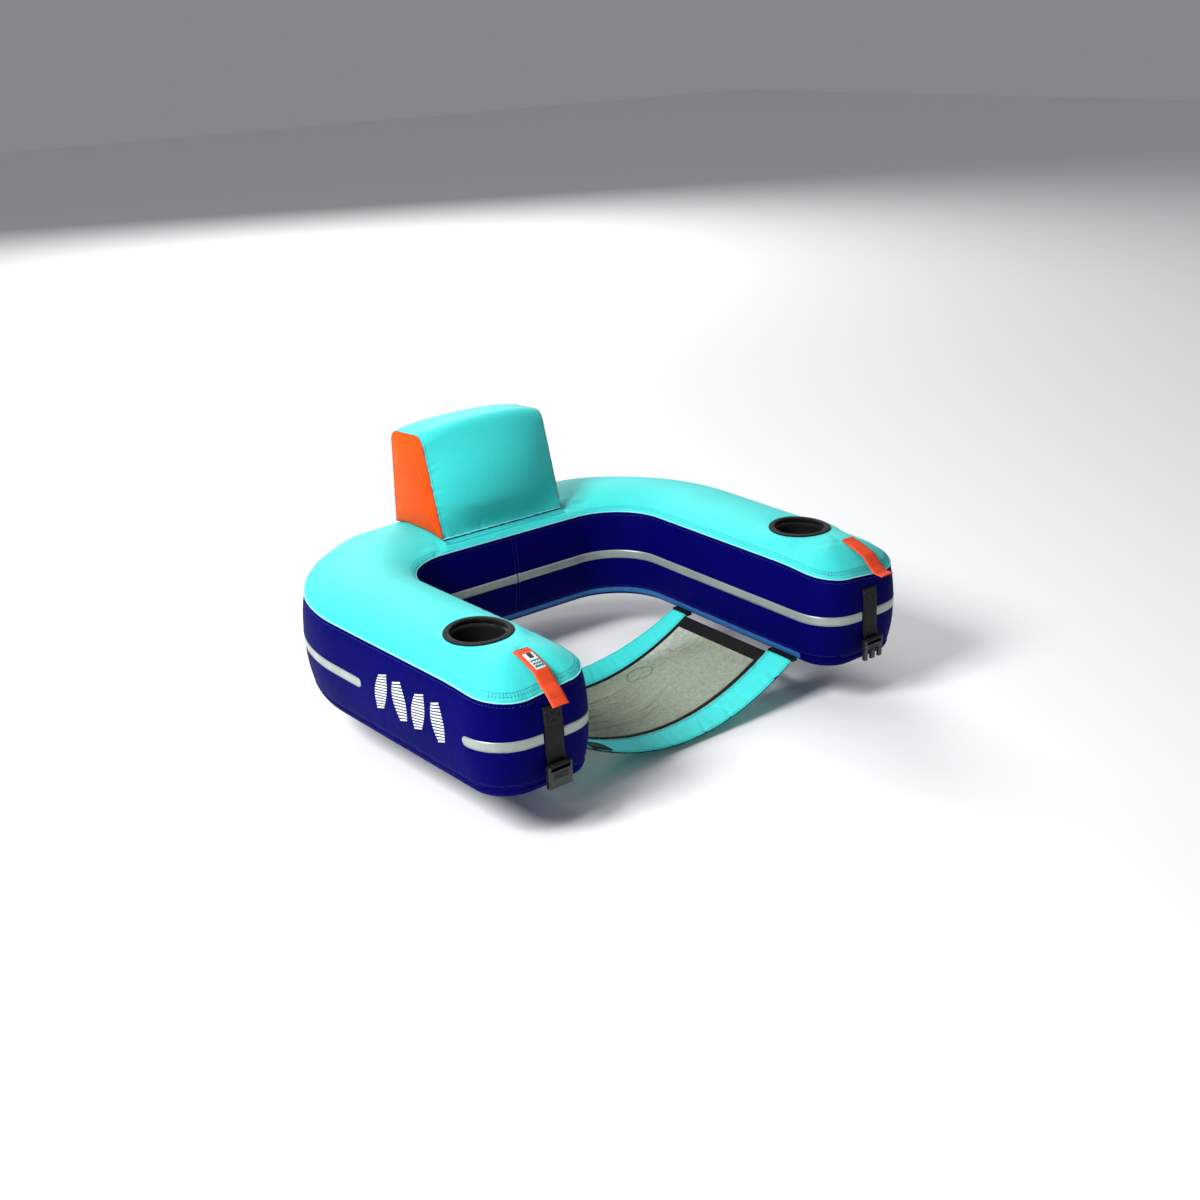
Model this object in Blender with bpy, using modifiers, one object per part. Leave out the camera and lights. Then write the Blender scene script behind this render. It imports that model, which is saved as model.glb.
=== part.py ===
"""Inflatable U-shaped pool lounger: a padded tube with two arms, a backrest and a hanging mesh seat.

Metres, +Z up, the open front towards -Y, the backrest at +Y, X = 0 the middle.
The origin is on the flat underside, below the middle of the back section.
"""

import math

import bmesh
import bpy
from mathutils import Matrix, Vector

GAP = 0.0003

# Tube in plan, along its seams.
HALF_WIDTH = 0.500
HALF_GAP = 0.287
TIP_Y = -0.740
BACK_OUTER_Y = 0.119
BACK_INNER_Y = -0.122
BACK_OUTER_RADIUS = 0.390
BACK_INNER_RADIUS = 0.125
TIP_RADIUS = 0.066
TOE_IN = 0.022
TOE_FULL_X = 0.400
ARM_CENTRE = (HALF_WIDTH + HALF_GAP) / 2
ARM_HALF = (HALF_WIDTH - HALF_GAP) / 2
CORNER_STEPS, TIP_STEPS = 9, 4

# Tube in height.
CROWN_Z = 0.226
BACKREST_DIP = 0.015
DIP_HALF, DIP_FADE = 0.165, 0.120
SEAM_Z = 0.1805
INNER_SEAM_RISE = 0.008
TIP_DROP = 0.012
TIP_DROP_LENGTH = 0.150
SKIRT = 0.004
WALL_FOOT_Z = 0.0165
WALL_BULGE = 0.012
COVER_THICKNESS = 0.0025
BLADDER_THICKNESS = 0.001
BLADDER_INSET = 0.0045

# Trim on the walls.
STRIPE_LOW, STRIPE_HIGH = 0.089, 0.107
STRIPE_THICKNESS = 0.0005
GRAPHIC_FRONT_Y, GRAPHIC_BACK_Y = -0.665, -0.364
ZIP_END_Y = -0.668
ZIP_LOW, ZIP_HIGH = 0.009, 0.0195
TEETH_LOW, TEETH_HIGH = 0.012, 0.0165

# Cup holders.
CUP_Y = -0.560
CUP_RADIUS = 0.050
CUP_WALL = 0.002
CUP_FLOOR_Z = 0.112
CUP_LIP_Z = 0.2160
CUP_STEPS = 32
RIM_INNER, RIM_OUTER = 0.0485, 0.0600

# Webbing, pull tabs and buckles.
STRAP_WIDTH = 0.037
WEBBING = 0.0012
TAB_WIDTH = 0.031
TAB_SEWN_Y = -0.687
TAB_EDGE = (-0.746, 0.1825)
TAB_OVER_TIP = (-0.760, 0.1740)
TAB_END_Y = -0.7745
TAB_END_Z = {"left": 0.159, "right": 0.176}
TAB_OUTWARD = {"left": 0.0, "right": 0.018}
BUCKLE_BAR_Y, BUCKLE_BAR_Z = -0.7600, 0.0500
BUCKLE_WIDTH, BUCKLE_DEPTH = 0.048, 0.010
BUCKLE_FOOT_Z = 0.010

# Backrest, as (y, z) of its side outline.
REST_HALF = 0.1465
REST_FRONT_FOOT_Y, REST_REAR_FOOT_Y = -0.095, 0.083
REST_FRONT_TOP = (-0.045, 0.406)
REST_REAR_TOP = (0.074, 0.402)
REST_CORNER = 0.020
REST_HINGE_Y, REST_HINGE_Z = -0.0975, 0.2065

# Seat, hung between the arms.
SEAT_EDGE_CLEARANCE = 0.016
SEAT_ATTACH_Z = 0.006
REAR_BAND = (-0.349, -0.304)
FRONT_BAND = (-0.659, -0.592)
BINDING_WIDTH = 0.008
SAG_REAR, SAG = 0.060, 0.078
BAND_THICKNESS = 0.003
MESH_THICKNESS = 0.001

# Valves.
VALVE_Z = 0.135
REST_VALVE_Z = 0.252
VALVE_BORE = 0.0130

COLLECTION = bpy.data.collections.new("pool_lounger")
CUTTERS = bpy.data.collections.new("cutters")
MATERIALS = {
    "turquoise_neoprene": ((0.05, 0.66, 0.80), 0.75, 0.0),
    "navy_polyester": ((0.010, 0.012, 0.16), 0.8, 0.0),
    "reflective_tape": ((0.48, 0.54, 0.50), 0.35, 0.0),
    "black_neoprene": ((0.012, 0.012, 0.014), 0.85, 0.0),
    "black_webbing": ((0.010, 0.010, 0.012), 0.8, 0.0),
    "orange_webbing": ((1.0, 0.13, 0.01), 0.75, 0.0),
    "orange_polyester": ((1.0, 0.10, 0.008), 0.75, 0.0),
    "black_mesh": ((0.05, 0.06, 0.05), 0.9, 0.0),
    "black_acetal": ((0.015, 0.015, 0.017), 0.4, 0.0),
    "blue_zip": ((0.03, 0.16, 0.42), 0.6, 0.0),
    "clear_bladder": ((0.62, 0.68, 0.70), 0.35, 0.0),
    "white_valve": ((0.80, 0.81, 0.82), 0.35, 0.0),
    "woven_label": ((0.78, 0.80, 0.78), 0.7, 0.0),
    "zinc_slider": ((0.30, 0.32, 0.36), 0.35, 1.0),
}


def clear_scene():
    for obj in list(bpy.data.objects):
        bpy.data.objects.remove(obj)


def material(name):
    found = bpy.data.materials.get(name)
    if found:
        return found
    colour, roughness, metallic = MATERIALS[name]
    made = bpy.data.materials.new(name)
    made.use_nodes = True
    shader = made.node_tree.nodes["Principled BSDF"]
    shader.inputs["Base Color"].default_value = (*colour, 1.0)
    shader.inputs["Roughness"].default_value = roughness
    shader.inputs["Metallic"].default_value = metallic
    return made


def clamp(value):
    return min(1.0, max(0.0, value))


def mix(a, b, t):
    return a + (b - a) * t


def arc(cx, cy, radius, start, end, steps):
    """Points of a circle's arc, angles in degrees."""
    angles = [math.radians(mix(start, end, k / steps)) for k in range(steps + 1)]
    return [(cx + radius * math.cos(a), cy + radius * math.sin(a)) for a in angles]


def new_object(name, bm, finish, collection=COLLECTION):
    mesh = bpy.data.meshes.new(name)
    bm.to_mesh(mesh)
    bm.free()
    obj = bpy.data.objects.new(name, mesh)
    collection.objects.link(obj)
    obj.data.materials.append(material(finish))
    return obj


def loft(name, finish, rows, closed=False, cap_first=False, cap_last=False):
    """Sheet through rows of points; its faces point along (row direction) x (next row)."""
    bm = bmesh.new()
    grid = [[bm.verts.new(p) for p in row] for row in rows]
    count = len(rows[0])
    for low, high in zip(grid, grid[1:]):
        for j in range(count if closed else count - 1):
            k = (j + 1) % count
            bm.faces.new((low[j], low[k], high[k], high[j]))
    for wanted, ring in ((cap_first, list(reversed(grid[0]))), (cap_last, grid[-1])):
        if wanted:
            cap(bm, ring)
    return new_object(name, bm, finish)


def cap(bm, ring):
    """Closes a ring: across a U-shaped ring with rungs from seam to seam, otherwise with one face."""
    count = len(ring)
    if count != len(tube_ring(0.0)):
        bm.faces.new(ring)
        return
    start = min(range(count), key=lambda k: (abs(ring[k].co.x) > GAP, ring[k].co.y))
    ring = ring[start:] + ring[:start]
    half = count // 2
    tip = half // 2 - 2
    for k in range(tip + 1):
        right_tip = [ring[half // 2]] if k == tip else []
        left_tip = [ring[half + half // 2]] if k == tip else []
        bm.faces.new([ring[k], ring[k + 1], *right_tip, ring[half - k - 1], ring[half - k]])
        bm.faces.new([ring[-k], ring[half + k], ring[half + k + 1], *left_tip, ring[-k - 1]])


def thicken(obj, thickness, outward=False):
    wall = obj.modifiers.new("wall", "SOLIDIFY")
    wall.thickness = thickness
    wall.offset = 1.0 if outward else -1.0
    wall.use_even_offset = True
    return obj


def cut(obj, *cutters):
    for cutter in cutters:
        step = obj.modifiers.new("cut", "BOOLEAN")
        step.operation = "DIFFERENCE"
        step.object = cutter


def as_cutter(obj):
    obj.hide_render = True
    obj.display_type = "WIRE"
    return obj


def cylinder(name, radius, depth, centre, axis="Z", steps=32):
    """Cutter cylinder along one axis."""
    turn = {"Z": Matrix(), "Y": Matrix.Rotation(math.pi / 2, 4, "X")}[axis]
    bm = bmesh.new()
    bmesh.ops.create_cone(
        bm, cap_ends=True, segments=steps, radius1=radius, radius2=radius, depth=depth,
        matrix=Matrix.Translation(Vector(centre)) @ turn,
    )
    return as_cutter(new_object(name, bm, "black_acetal", CUTTERS))


def box(name, finish, low, high, collection=COLLECTION):
    bm = bmesh.new()
    size = Vector(high) - Vector(low)
    middle = (Vector(high) + Vector(low)) / 2
    bmesh.ops.create_cube(bm, matrix=Matrix.Translation(middle) @ Matrix.Diagonal((*size, 1.0)))
    return new_object(name, bm, finish, collection)


def cut_box(name, low, high):
    return as_cutter(box(name, "black_acetal", low, high, CUTTERS))


def bevel(obj, width, segments=2):
    step = obj.modifiers.new("edges", "BEVEL")
    step.width = width
    step.segments = segments
    step.limit_method = "ANGLE"
    return obj


def turned(name, finish, profile, steps=24, closed=False):
    """Solid turned about Z from (radius, z) points that run down the outer side."""
    bm = bmesh.new()
    points = [bm.verts.new((radius, 0.0, z)) for radius, z in profile]
    for a, b in zip(points, points[1:] + (points[:1] if closed else [])):
        bm.edges.new((a, b))
    obj = new_object(name, bm, finish)
    screw = obj.modifiers.new("turn", "SCREW")
    screw.axis = "Z"
    screw.angle = math.tau
    screw.steps = steps
    screw.render_steps = steps
    screw.use_merge_vertices = True
    screw.merge_threshold = 0.00001
    return obj


# ---- Tube surface -------------------------------------------------------------------------------


def toe(x, y):
    """Arms lean a little towards each other at their tips."""
    run = clamp((BACK_INNER_Y - y) / (BACK_INNER_Y - TIP_Y))
    return x - math.copysign(TOE_IN * run * clamp(abs(x) / TOE_FULL_X), x)


def inner_part(offset):
    """Inner seam line of the right half, from the middle of the back to the arm, moved into the tube."""
    x, y = HALF_GAP - BACK_INNER_RADIUS, BACK_INNER_Y - BACK_INNER_RADIUS
    corner = arc(x, y, BACK_INNER_RADIUS + offset, 90, 0, CORNER_STEPS)
    return [(0.0, BACK_INNER_Y + offset)] + corner


def tip_inner_part(offset):
    radius = max(TIP_RADIUS, offset + 0.004)
    return arc(HALF_GAP + radius, TIP_Y + radius, radius - offset, 180, 270, TIP_STEPS)


def tip_outer_part(offset):
    radius = max(TIP_RADIUS, offset + 0.004)
    return arc(HALF_WIDTH - radius, TIP_Y + radius, radius - offset, 270, 360, TIP_STEPS)


def outer_part(offset):
    x, y = HALF_WIDTH - BACK_OUTER_RADIUS, BACK_OUTER_Y - BACK_OUTER_RADIUS
    corner = arc(x, y, BACK_OUTER_RADIUS - offset, 0, 90, CORNER_STEPS)
    return corner + [(0.0, BACK_OUTER_Y - offset)]


def mirrored(points):
    return [(-x, y, *rest) for x, y, *rest in reversed(points)]


def tagged(points, inner):
    """Adds how far each point belongs to the higher inner seam: 1 inner, 0 outer."""
    return [(x, y, inner) for x, y in points]


def tube_half(offset):
    return (
        tagged(inner_part(offset) + tip_inner_part(offset), 1.0)
        + tagged([(ARM_CENTRE, TIP_Y + offset)], 0.5)
        + tagged(tip_outer_part(offset) + outer_part(offset), 0.0)
    )


def tube_ring(offset):
    half = tube_half(offset)
    return half + mirrored(half)[1:-1]


def seam_height(y, inner):
    drop = clamp(1 - (y - TIP_Y) / TIP_DROP_LENGTH) ** 2
    return SEAM_Z + INNER_SEAM_RISE * inner - TIP_DROP * drop


def crown_height(offset, x, y, inner):
    """Height of the top cover at a distance inside its seam; the backrest presses it down a little."""
    rise = 1 - (1 - clamp(offset / ARM_HALF)) ** 2
    pressed = clamp(1 - (abs(x) - DIP_HALF) / DIP_FADE)
    crown = CROWN_Z - BACKREST_DIP * pressed * pressed * (3 - 2 * pressed)
    return mix(seam_height(y, inner) + SKIRT, crown, rise)


def level(height):
    """Height rule of a row that lies flat."""
    return lambda x, y, inner: height


def seam_rule(drop=0.0):
    """Height rule of a row that follows the top seam."""
    return lambda x, y, inner: seam_height(y, inner) - drop


def crown_rule(offset, drop=0.0):
    """Height rule of a row of the crown."""
    return lambda x, y, inner: crown_height(offset, x, y, inner) - drop


def placed(points, rule):
    """Leans a row with the arms and gives it its height."""
    return [(toe(x, y), y, rule(x, y, inner)) for x, y, inner in points]


def back_top(y):
    """Top of the tube's back section, across its middle."""
    to_inner, to_outer = y - BACK_INNER_Y, BACK_OUTER_Y - y
    return crown_height(min(to_inner, to_outer), 0.0, y, 1.0 if to_inner < to_outer else 0.0)


def arm_top(x, y):
    """Top of an arm, away from its tip."""
    middle = toe(ARM_CENTRE, y)
    across = abs(x) - middle
    return crown_height(ARM_HALF - abs(across), x, y, 1.0 if across < 0 else 0.0)


CROWN_OFFSETS = (0.012, 0.030, 0.055, 0.080, 0.100)
WALL_LEVELS = ((0.0035, 0.0), (0.0335, 0.75), (0.0675, 1.0), (0.0955, 1.0))
UNDERSIDE = ((0.018, 0.0), (0.005, 0.003), (0.0, 0.012), (0.0, WALL_FOOT_Z - 2 * GAP))


def top_panel(cups):
    rows = [placed(tube_ring(0.0), seam_rule())]
    rows += [placed(tube_ring(offset), crown_rule(offset)) for offset in (0.0, *CROWN_OFFSETS)]
    panel = loft("top_panel", "turquoise_neoprene", rows, closed=True, cap_last=True)
    cut(thicken(panel, COVER_THICKNESS), *cups)


def bottom_panel():
    rows = [placed(tube_ring(offset), level(z)) for offset, z in UNDERSIDE]
    panel = loft("bottom_panel", "navy_polyester", rows, closed=True, cap_first=True)
    thicken(panel, COVER_THICKNESS)


def wall_rows(path):
    """Rows of a wall from its foot to the top seam; path gives the plan line for an offset."""
    rows = [placed(path(0.0), level(WALL_FOOT_Z))]
    for rise, bulge in WALL_LEVELS:
        rows.append(placed(path(-WALL_BULGE * bulge), level(WALL_FOOT_Z + rise)))
    top = 2 * GAP
    rows.append(placed(path(-WALL_BULGE * 0.7), seam_rule(top + 0.030)))
    rows.append(placed(path(0.0), seam_rule(top + 0.0035)))
    rows.append(placed(path(0.0), seam_rule(top)))
    return rows


def outer_path(offset):
    half = tagged([(ARM_CENTRE, TIP_Y + offset)], 0.5) + tagged(
        tip_outer_part(offset) + outer_part(offset), 0.0
    )
    return half + mirrored(half)[1:]


def inner_path(offset):
    seam = [(GAP, BACK_INNER_Y + offset)]
    points = tagged(seam + inner_part(offset)[1:] + tip_inner_part(offset), 1.0)
    return points + tagged([(ARM_CENTRE - GAP, TIP_Y + offset)], 0.5)


def walls(port):
    wall = loft("outer_wall", "navy_polyester", wall_rows(outer_path))
    cut(thicken(wall, COVER_THICKNESS), port)
    thicken(loft("inner_wall_right", "navy_polyester", wall_rows(inner_path)), COVER_THICKNESS)
    left = wall_rows(lambda offset: mirrored(inner_path(offset)))
    thicken(loft("inner_wall_left", "navy_polyester", left), COVER_THICKNESS)


def bladder(wells, port):
    """Airtight inner tube, with wells for the cup pockets and a port for the valve."""
    inset = BLADDER_INSET
    levels = [(0.022, inset), (0.009, 0.010), (inset + 0.001, 0.024)]
    levels += [(inset - WALL_BULGE * 0.9, 0.084), (inset - WALL_BULGE * 0.9, 0.112)]
    rows = [placed(tube_ring(offset), level(z)) for offset, z in levels]
    rows.append(placed(tube_ring(inset + 0.001), seam_rule(0.006)))
    for offset in (0.018, *CROWN_OFFSETS[1:]):
        rows.append(placed(tube_ring(offset), crown_rule(offset, inset + 0.001)))
    tube = loft("tube_bladder", "clear_bladder", rows, closed=True, cap_first=True, cap_last=True)
    cut(tube, *wells)
    cut(thicken(tube, BLADDER_THICKNESS), port)


def ribbon(name, finish, line, low, high, offset, thickness):
    """Flat band on a wall: line gives the plan points for an offset outside the seam."""
    rows = [[(toe(x, y), y, z) for x, y in line(-offset)] for z in (low, high)]
    return thicken(loft(name, finish, rows), thickness, outward=True)


def stripes():
    stand_off = WALL_BULGE + GAP
    edge = STRAP_WIDTH / 2 + 0.002

    def back_line(offset):
        half = [(HALF_WIDTH - offset, GRAPHIC_BACK_Y)] + outer_part(offset)
        return half + mirrored(half)[1:]

    def tip_line(offset):
        start, end = (ARM_CENTRE + edge, TIP_Y + offset), (HALF_WIDTH - offset, GRAPHIC_FRONT_Y)
        return [start] + tip_outer_part(offset) + [end]

    def inner_line(offset):
        start, end = (0.0020, BACK_INNER_Y + offset), (ARM_CENTRE - edge, TIP_Y + offset)
        return [start] + inner_part(offset)[1:] + tip_inner_part(offset) + [end]

    lines = {
        "stripe_back": back_line,
        "stripe_tip_right": tip_line,
        "stripe_tip_left": lambda offset: mirrored(tip_line(offset)),
        "stripe_inner_right": inner_line,
        "stripe_inner_left": lambda offset: mirrored(inner_line(offset)),
    }
    for name, line in lines.items():
        ribbon(name, "reflective_tape", line, STRIPE_LOW, STRIPE_HIGH, stand_off, STRIPE_THICKNESS)


def zipper():
    """Closure of the cover along the inner bottom edge, with its slider and pull."""

    def line(offset):
        half = inner_part(offset) + [(HALF_GAP + offset, ZIP_END_Y)]
        return mirrored(half)[:-1] + half

    tape, teeth = 0.0008, 0.0010
    ribbon("zipper_tape", "blue_zip", line, ZIP_LOW, ZIP_HIGH, 0.0004, tape)
    ribbon("zipper_teeth", "blue_zip", line, TEETH_LOW, TEETH_HIGH, 0.0004 + tape + GAP, teeth)
    front = BACK_INNER_Y - 0.0004 - tape - teeth - 3 * GAP
    x = -0.130
    slider = box("zipper_slider", "zinc_slider", (x - 0.005, front - 0.003, 0.008), (x + 0.005, front, 0.0215))
    bevel(slider, 0.0008)
    low = (x - 0.0032, front - 0.0048, 0.0035)
    pull = box("zipper_pull", "black_acetal", low, (x + 0.0032, front - 0.0034, 0.0200))
    bevel(pull, 0.0005)


# ---- Cup holders, tabs, straps and buckles -------------------------------------------------------


def cup_centre(side):
    return side * toe(ARM_CENTRE, CUP_Y), CUP_Y


def cup_holder(label, side):
    x, y = cup_centre(side)
    inside, outside = CUP_RADIUS - CUP_WALL, CUP_RADIUS
    floor = CUP_FLOOR_Z
    profile = [
        (0.0, floor), (inside - 0.006, floor), (inside, floor + 0.006), (inside, CUP_LIP_Z),
        (outside, CUP_LIP_Z), (outside, floor + 0.004), (outside - 0.006, floor - CUP_WALL),
        (0.0, floor - CUP_WALL),
    ]
    pocket = turned("cup_pocket_" + label, "black_neoprene", profile, CUP_STEPS)
    pocket.location = (x, y, 0.0)

    def ring(radius):
        angles = [math.tau * k / CUP_STEPS for k in range(CUP_STEPS)]
        points = [(x + radius * math.cos(a), y + radius * math.sin(a)) for a in angles]
        return [(px, py, arm_top(px, py) + 2 * GAP) for px, py in points]

    rows = [ring(RIM_OUTER), ring(mix(RIM_INNER, RIM_OUTER, 0.5)), ring(RIM_INNER)]
    rim = loft("cup_rim_" + label, "black_neoprene", rows, closed=True)
    thicken(rim, 0.0012, outward=True)


def tab_height(y):
    return crown_height(y - TIP_Y, ARM_CENTRE, y, 0.5) + 0.0012


def strip_rows(x, half, line):
    """Rows of a flat strip across X, along a line of (y, z) points that runs forward."""
    return [[(x + half, y, z), (x - half, y, z)] for y, z in line]


def pull_tab(label, side):
    """Webbing pull tab, sewn at its rear end, with its free end over the tip."""
    x = side * (toe(ARM_CENTRE, TIP_Y + 0.04) + TAB_OUTWARD[label])
    patch = [(y, tab_height(y)) for y in (TAB_SEWN_Y + 0.016, TAB_SEWN_Y + 2 * GAP)]
    anchor = loft("tab_anchor_" + label, "orange_webbing", strip_rows(x, TAB_WIDTH / 2, patch))
    thicken(anchor, WEBBING, outward=True)
    run = [(y, tab_height(y)) for y in (TAB_SEWN_Y, -0.700, -0.714, -0.728)]
    over = run + [TAB_EDGE, TAB_OVER_TIP, (TAB_END_Y, TAB_END_Z[label])]
    tab = loft("tab_" + label, "orange_webbing", strip_rows(x, TAB_WIDTH / 2, over))
    thicken(tab, 0.0020, outward=True)
    if side < 0:
        lifted = [(y, z + 0.0020 + 2 * GAP) for y, z in run]
        lifted[0] = lerp_point(lifted[0], lifted[1], 0.15)
        name_tag = loft("tab_label", "woven_label", strip_rows(x + 0.003, 0.0120, lifted))
        thicken(name_tag, 0.0005, outward=True)


def tip_strap(label, side):
    """Webbing down the front of a tip, looped round the buckle's bar."""
    x = side * toe(ARM_CENTRE, TIP_Y)
    face = TIP_Y - WALL_BULGE - 2 * GAP
    line = [(face + 0.0030, 0.1500), (face, 0.1150), (face, 0.0800), (face + 0.0010, 0.0680)]
    loop = arc(BUCKLE_BAR_Y, BUCKLE_BAR_Z, 0.0050, 35, -245, 10)
    rows = strip_rows(x, STRAP_WIDTH / 2, line + loop)
    thicken(loft("tip_strap_" + label, "black_webbing", rows), WEBBING, outward=True)


def buckle_body(name, x):
    """Plate of a side-release buckle: a bar, a slot for the webbing and the body below it."""
    half, slot = BUCKLE_WIDTH / 2, STRAP_WIDTH / 2 + 0.0010
    back, front = BUCKLE_BAR_Y + BUCKLE_DEPTH / 2, BUCKLE_BAR_Y - BUCKLE_DEPTH / 2
    body = box(name, "black_acetal", (x - half, front, BUCKLE_FOOT_Z), (x + half, back, 0.0520))
    bevel(body, 0.0020)
    reach = 0.010
    cut(
        body,
        cut_box(name + "_slot", (x - slot, front - reach, 0.0410), (x + slot, back + reach, 0.0480)),
        cut_box(name + "_front", (x - slot, front - reach, 0.0410), (x + slot, BUCKLE_BAR_Y - 0.0025, 0.06)),
        cut_box(name + "_back", (x - slot, BUCKLE_BAR_Y + 0.0025, 0.0410), (x + slot, back + reach, 0.06)),
    )
    return body


def female_buckle(x):
    """Socket half: hollow from below, with a window in each side for the prongs."""
    body = buckle_body("buckle_socket", x)
    front, back = BUCKLE_BAR_Y - 0.0030, BUCKLE_BAR_Y + 0.0030
    cut(
        body,
        cut_box("socket_mouth", (x - 0.0170, front, 0.0), (x + 0.0170, back, 0.0340)),
        cut_box("socket_windows", (x - 0.0300, front, 0.0120), (x + 0.0300, back, 0.0240)),
    )


def male_buckle(x):
    """Plug half: two outer spring prongs and a guide tongue."""
    body = buckle_body("buckle_plug", x)
    front, back = BUCKLE_BAR_Y - 0.0250, BUCKLE_BAR_Y + 0.0250
    top, foot = 0.0310, 0.0
    cut(
        body,
        cut_box("prong_gap_left", (x - 0.0150, front, foot), (x - 0.0050, back, top)),
        cut_box("prong_gap_right", (x + 0.0050, front, foot), (x + 0.0150, back, top)),
        cut_box("prong_thin_front", (x - 0.0300, front, foot), (x + 0.0300, BUCKLE_BAR_Y - 0.0028, top)),
        cut_box("prong_thin_back", (x - 0.0300, BUCKLE_BAR_Y + 0.0028, foot), (x + 0.0300, back, top)),
    )


# ---- Backrest ------------------------------------------------------------------------------------


def backrest_outline():
    """Side outline over the top, from the front foot to the rear foot."""
    foot_front = (REST_FRONT_FOOT_Y, back_top(REST_FRONT_FOOT_Y) + 0.003)
    foot_rear = (REST_REAR_FOOT_Y, back_top(REST_REAR_FOOT_Y) + 0.003)
    r = REST_CORNER
    front, rear = REST_FRONT_TOP, REST_REAR_TOP
    front_arc = arc(front[0] + r, front[1] - r, r, 166, 90, 4)
    rear_arc = arc(rear[0] - r, rear[1] - r, r, 90, 0, 4)
    rise = [lerp_point(foot_front, front_arc[0], t) for t in (0.0, 0.2, 0.45, 0.75)]
    over = [lerp_point(front_arc[-1], rear_arc[0], t) for t in (0.33, 0.67)]
    fall = [lerp_point(rear_arc[-1], foot_rear, t) for t in (0.25, 0.5, 0.8, 1.0)]
    return rise + front_arc + over + rear_arc + fall


def lerp_point(a, b, t):
    return mix(a[0], b[0], t), mix(a[1], b[1], t)


def base_line(inset, lift):
    """Arched base that sits on the tube's crown, from the rear to the front."""
    first, last = REST_REAR_FOOT_Y - inset, REST_FRONT_FOOT_Y + inset
    ys = [mix(first, last, k / 6) for k in range(7)]
    return [(y, back_top(y) + 0.001 + lift) for y in ys]


def swollen(outline, u, amount):
    """Pushes an outline out from its middle where air fills it; u runs -1 to 1 across."""
    middle = (0.0, 0.300)
    fullness = 1 - abs(u) ** 3
    points = []
    for y, z in outline:
        high = clamp((z - 0.215) / 0.06)
        dy, dz = y - middle[0], z - middle[1]
        length = math.hypot(dy, dz)
        push = amount * fullness * high
        points.append((y + dy / length * push, z + dz / length * push))
    return points


REST_STATIONS = (1.0, 0.85, 0.55, 0.2, -0.2, -0.55, -0.85, -1.0)


def backrest(port):
    outline = backrest_outline()
    rows = [
        [(u * REST_HALF, y, z) for y, z in swollen(outline, u, 0.016)] for u in REST_STATIONS
    ]
    wrap = thicken(loft("backrest_wrap", "turquoise_neoprene", rows), COVER_THICKNESS)
    cut(wrap, port)

    closed = outline + base_line(0.004, 0.0)[1:-1]
    middle = (0.0, 0.300)
    for side, name in ((1, "backrest_side_right"), (-1, "backrest_side_left")):
        loop = list(reversed(closed)) if side > 0 else closed
        rows = []
        for scale, out in ((1.0, 0.0), (0.8, 0.007), (0.4, 0.010)):
            x = side * (REST_HALF + GAP + 0.002 + out)
            rows.append([(x, *lerp_point(middle, point, scale)) for point in loop])
        thicken(loft(name, "orange_polyester", rows, closed=True, cap_last=True), 0.0020)

    base = [[(side * (REST_HALF - GAP), y, z) for y, z in base_line(0.0050, 0.0)] for side in (-1, 1)]
    thicken(loft("backrest_base", "navy_polyester", base), 0.0020, outward=True)

    inside = [lerp_point(middle, point, 0.92) for point in outline] + base_line(0.009, 0.006)[1:-1]
    rows = [
        [(u * 0.142, y, z) for y, z in swollen(inside, u, 0.013)] for u in REST_STATIONS
    ]
    body = loft("backrest_bladder", "clear_bladder", rows, closed=True, cap_first=True, cap_last=True)
    cut(thicken(body, BLADDER_THICKNESS), port)


def backrest_flange():
    """Sewn strip in front of the backrest, the line that it folds on."""
    ys = (-0.0985, -0.1060, -0.1130, -0.1180)
    line = [(y, back_top(y) + 2 * GAP) for y in ys]
    thicken(loft("backrest_flange", "turquoise_neoprene", strip_rows(0.0, REST_HALF, line)), 0.0012, outward=True)


# ---- Seat ----------------------------------------------------------------------------------------


def seat_half(y):
    return toe(HALF_GAP, y) - SEAT_EDGE_CLEARANCE


def seat_point(u, y, lift=0.0):
    """Point of the hanging seat; u runs -1 to 1 between the arms."""
    settle = clamp((REAR_BAND[1] - y) / (REAR_BAND[1] - REAR_BAND[0]))
    sag = mix(SAG_REAR, SAG, settle)
    return u * seat_half(y), y, SEAT_ATTACH_Z - sag * (1 - u * u) + lift


def seat_sheet(name, finish, span_u, span_y, thickness, lift=0.0, columns=12, lines=1):
    """Sheet of the seat; its upper face is the hanging surface."""
    ys = [mix(span_y[0], span_y[1], k / lines) for k in range(lines + 1)]
    us = [mix(span_u[0], span_u[1], k / columns) for k in range(columns + 1)]
    rows = [[seat_point(u, y, lift) for u in us] for y in ys]
    return thicken(loft(name, finish, rows), thickness)


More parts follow.
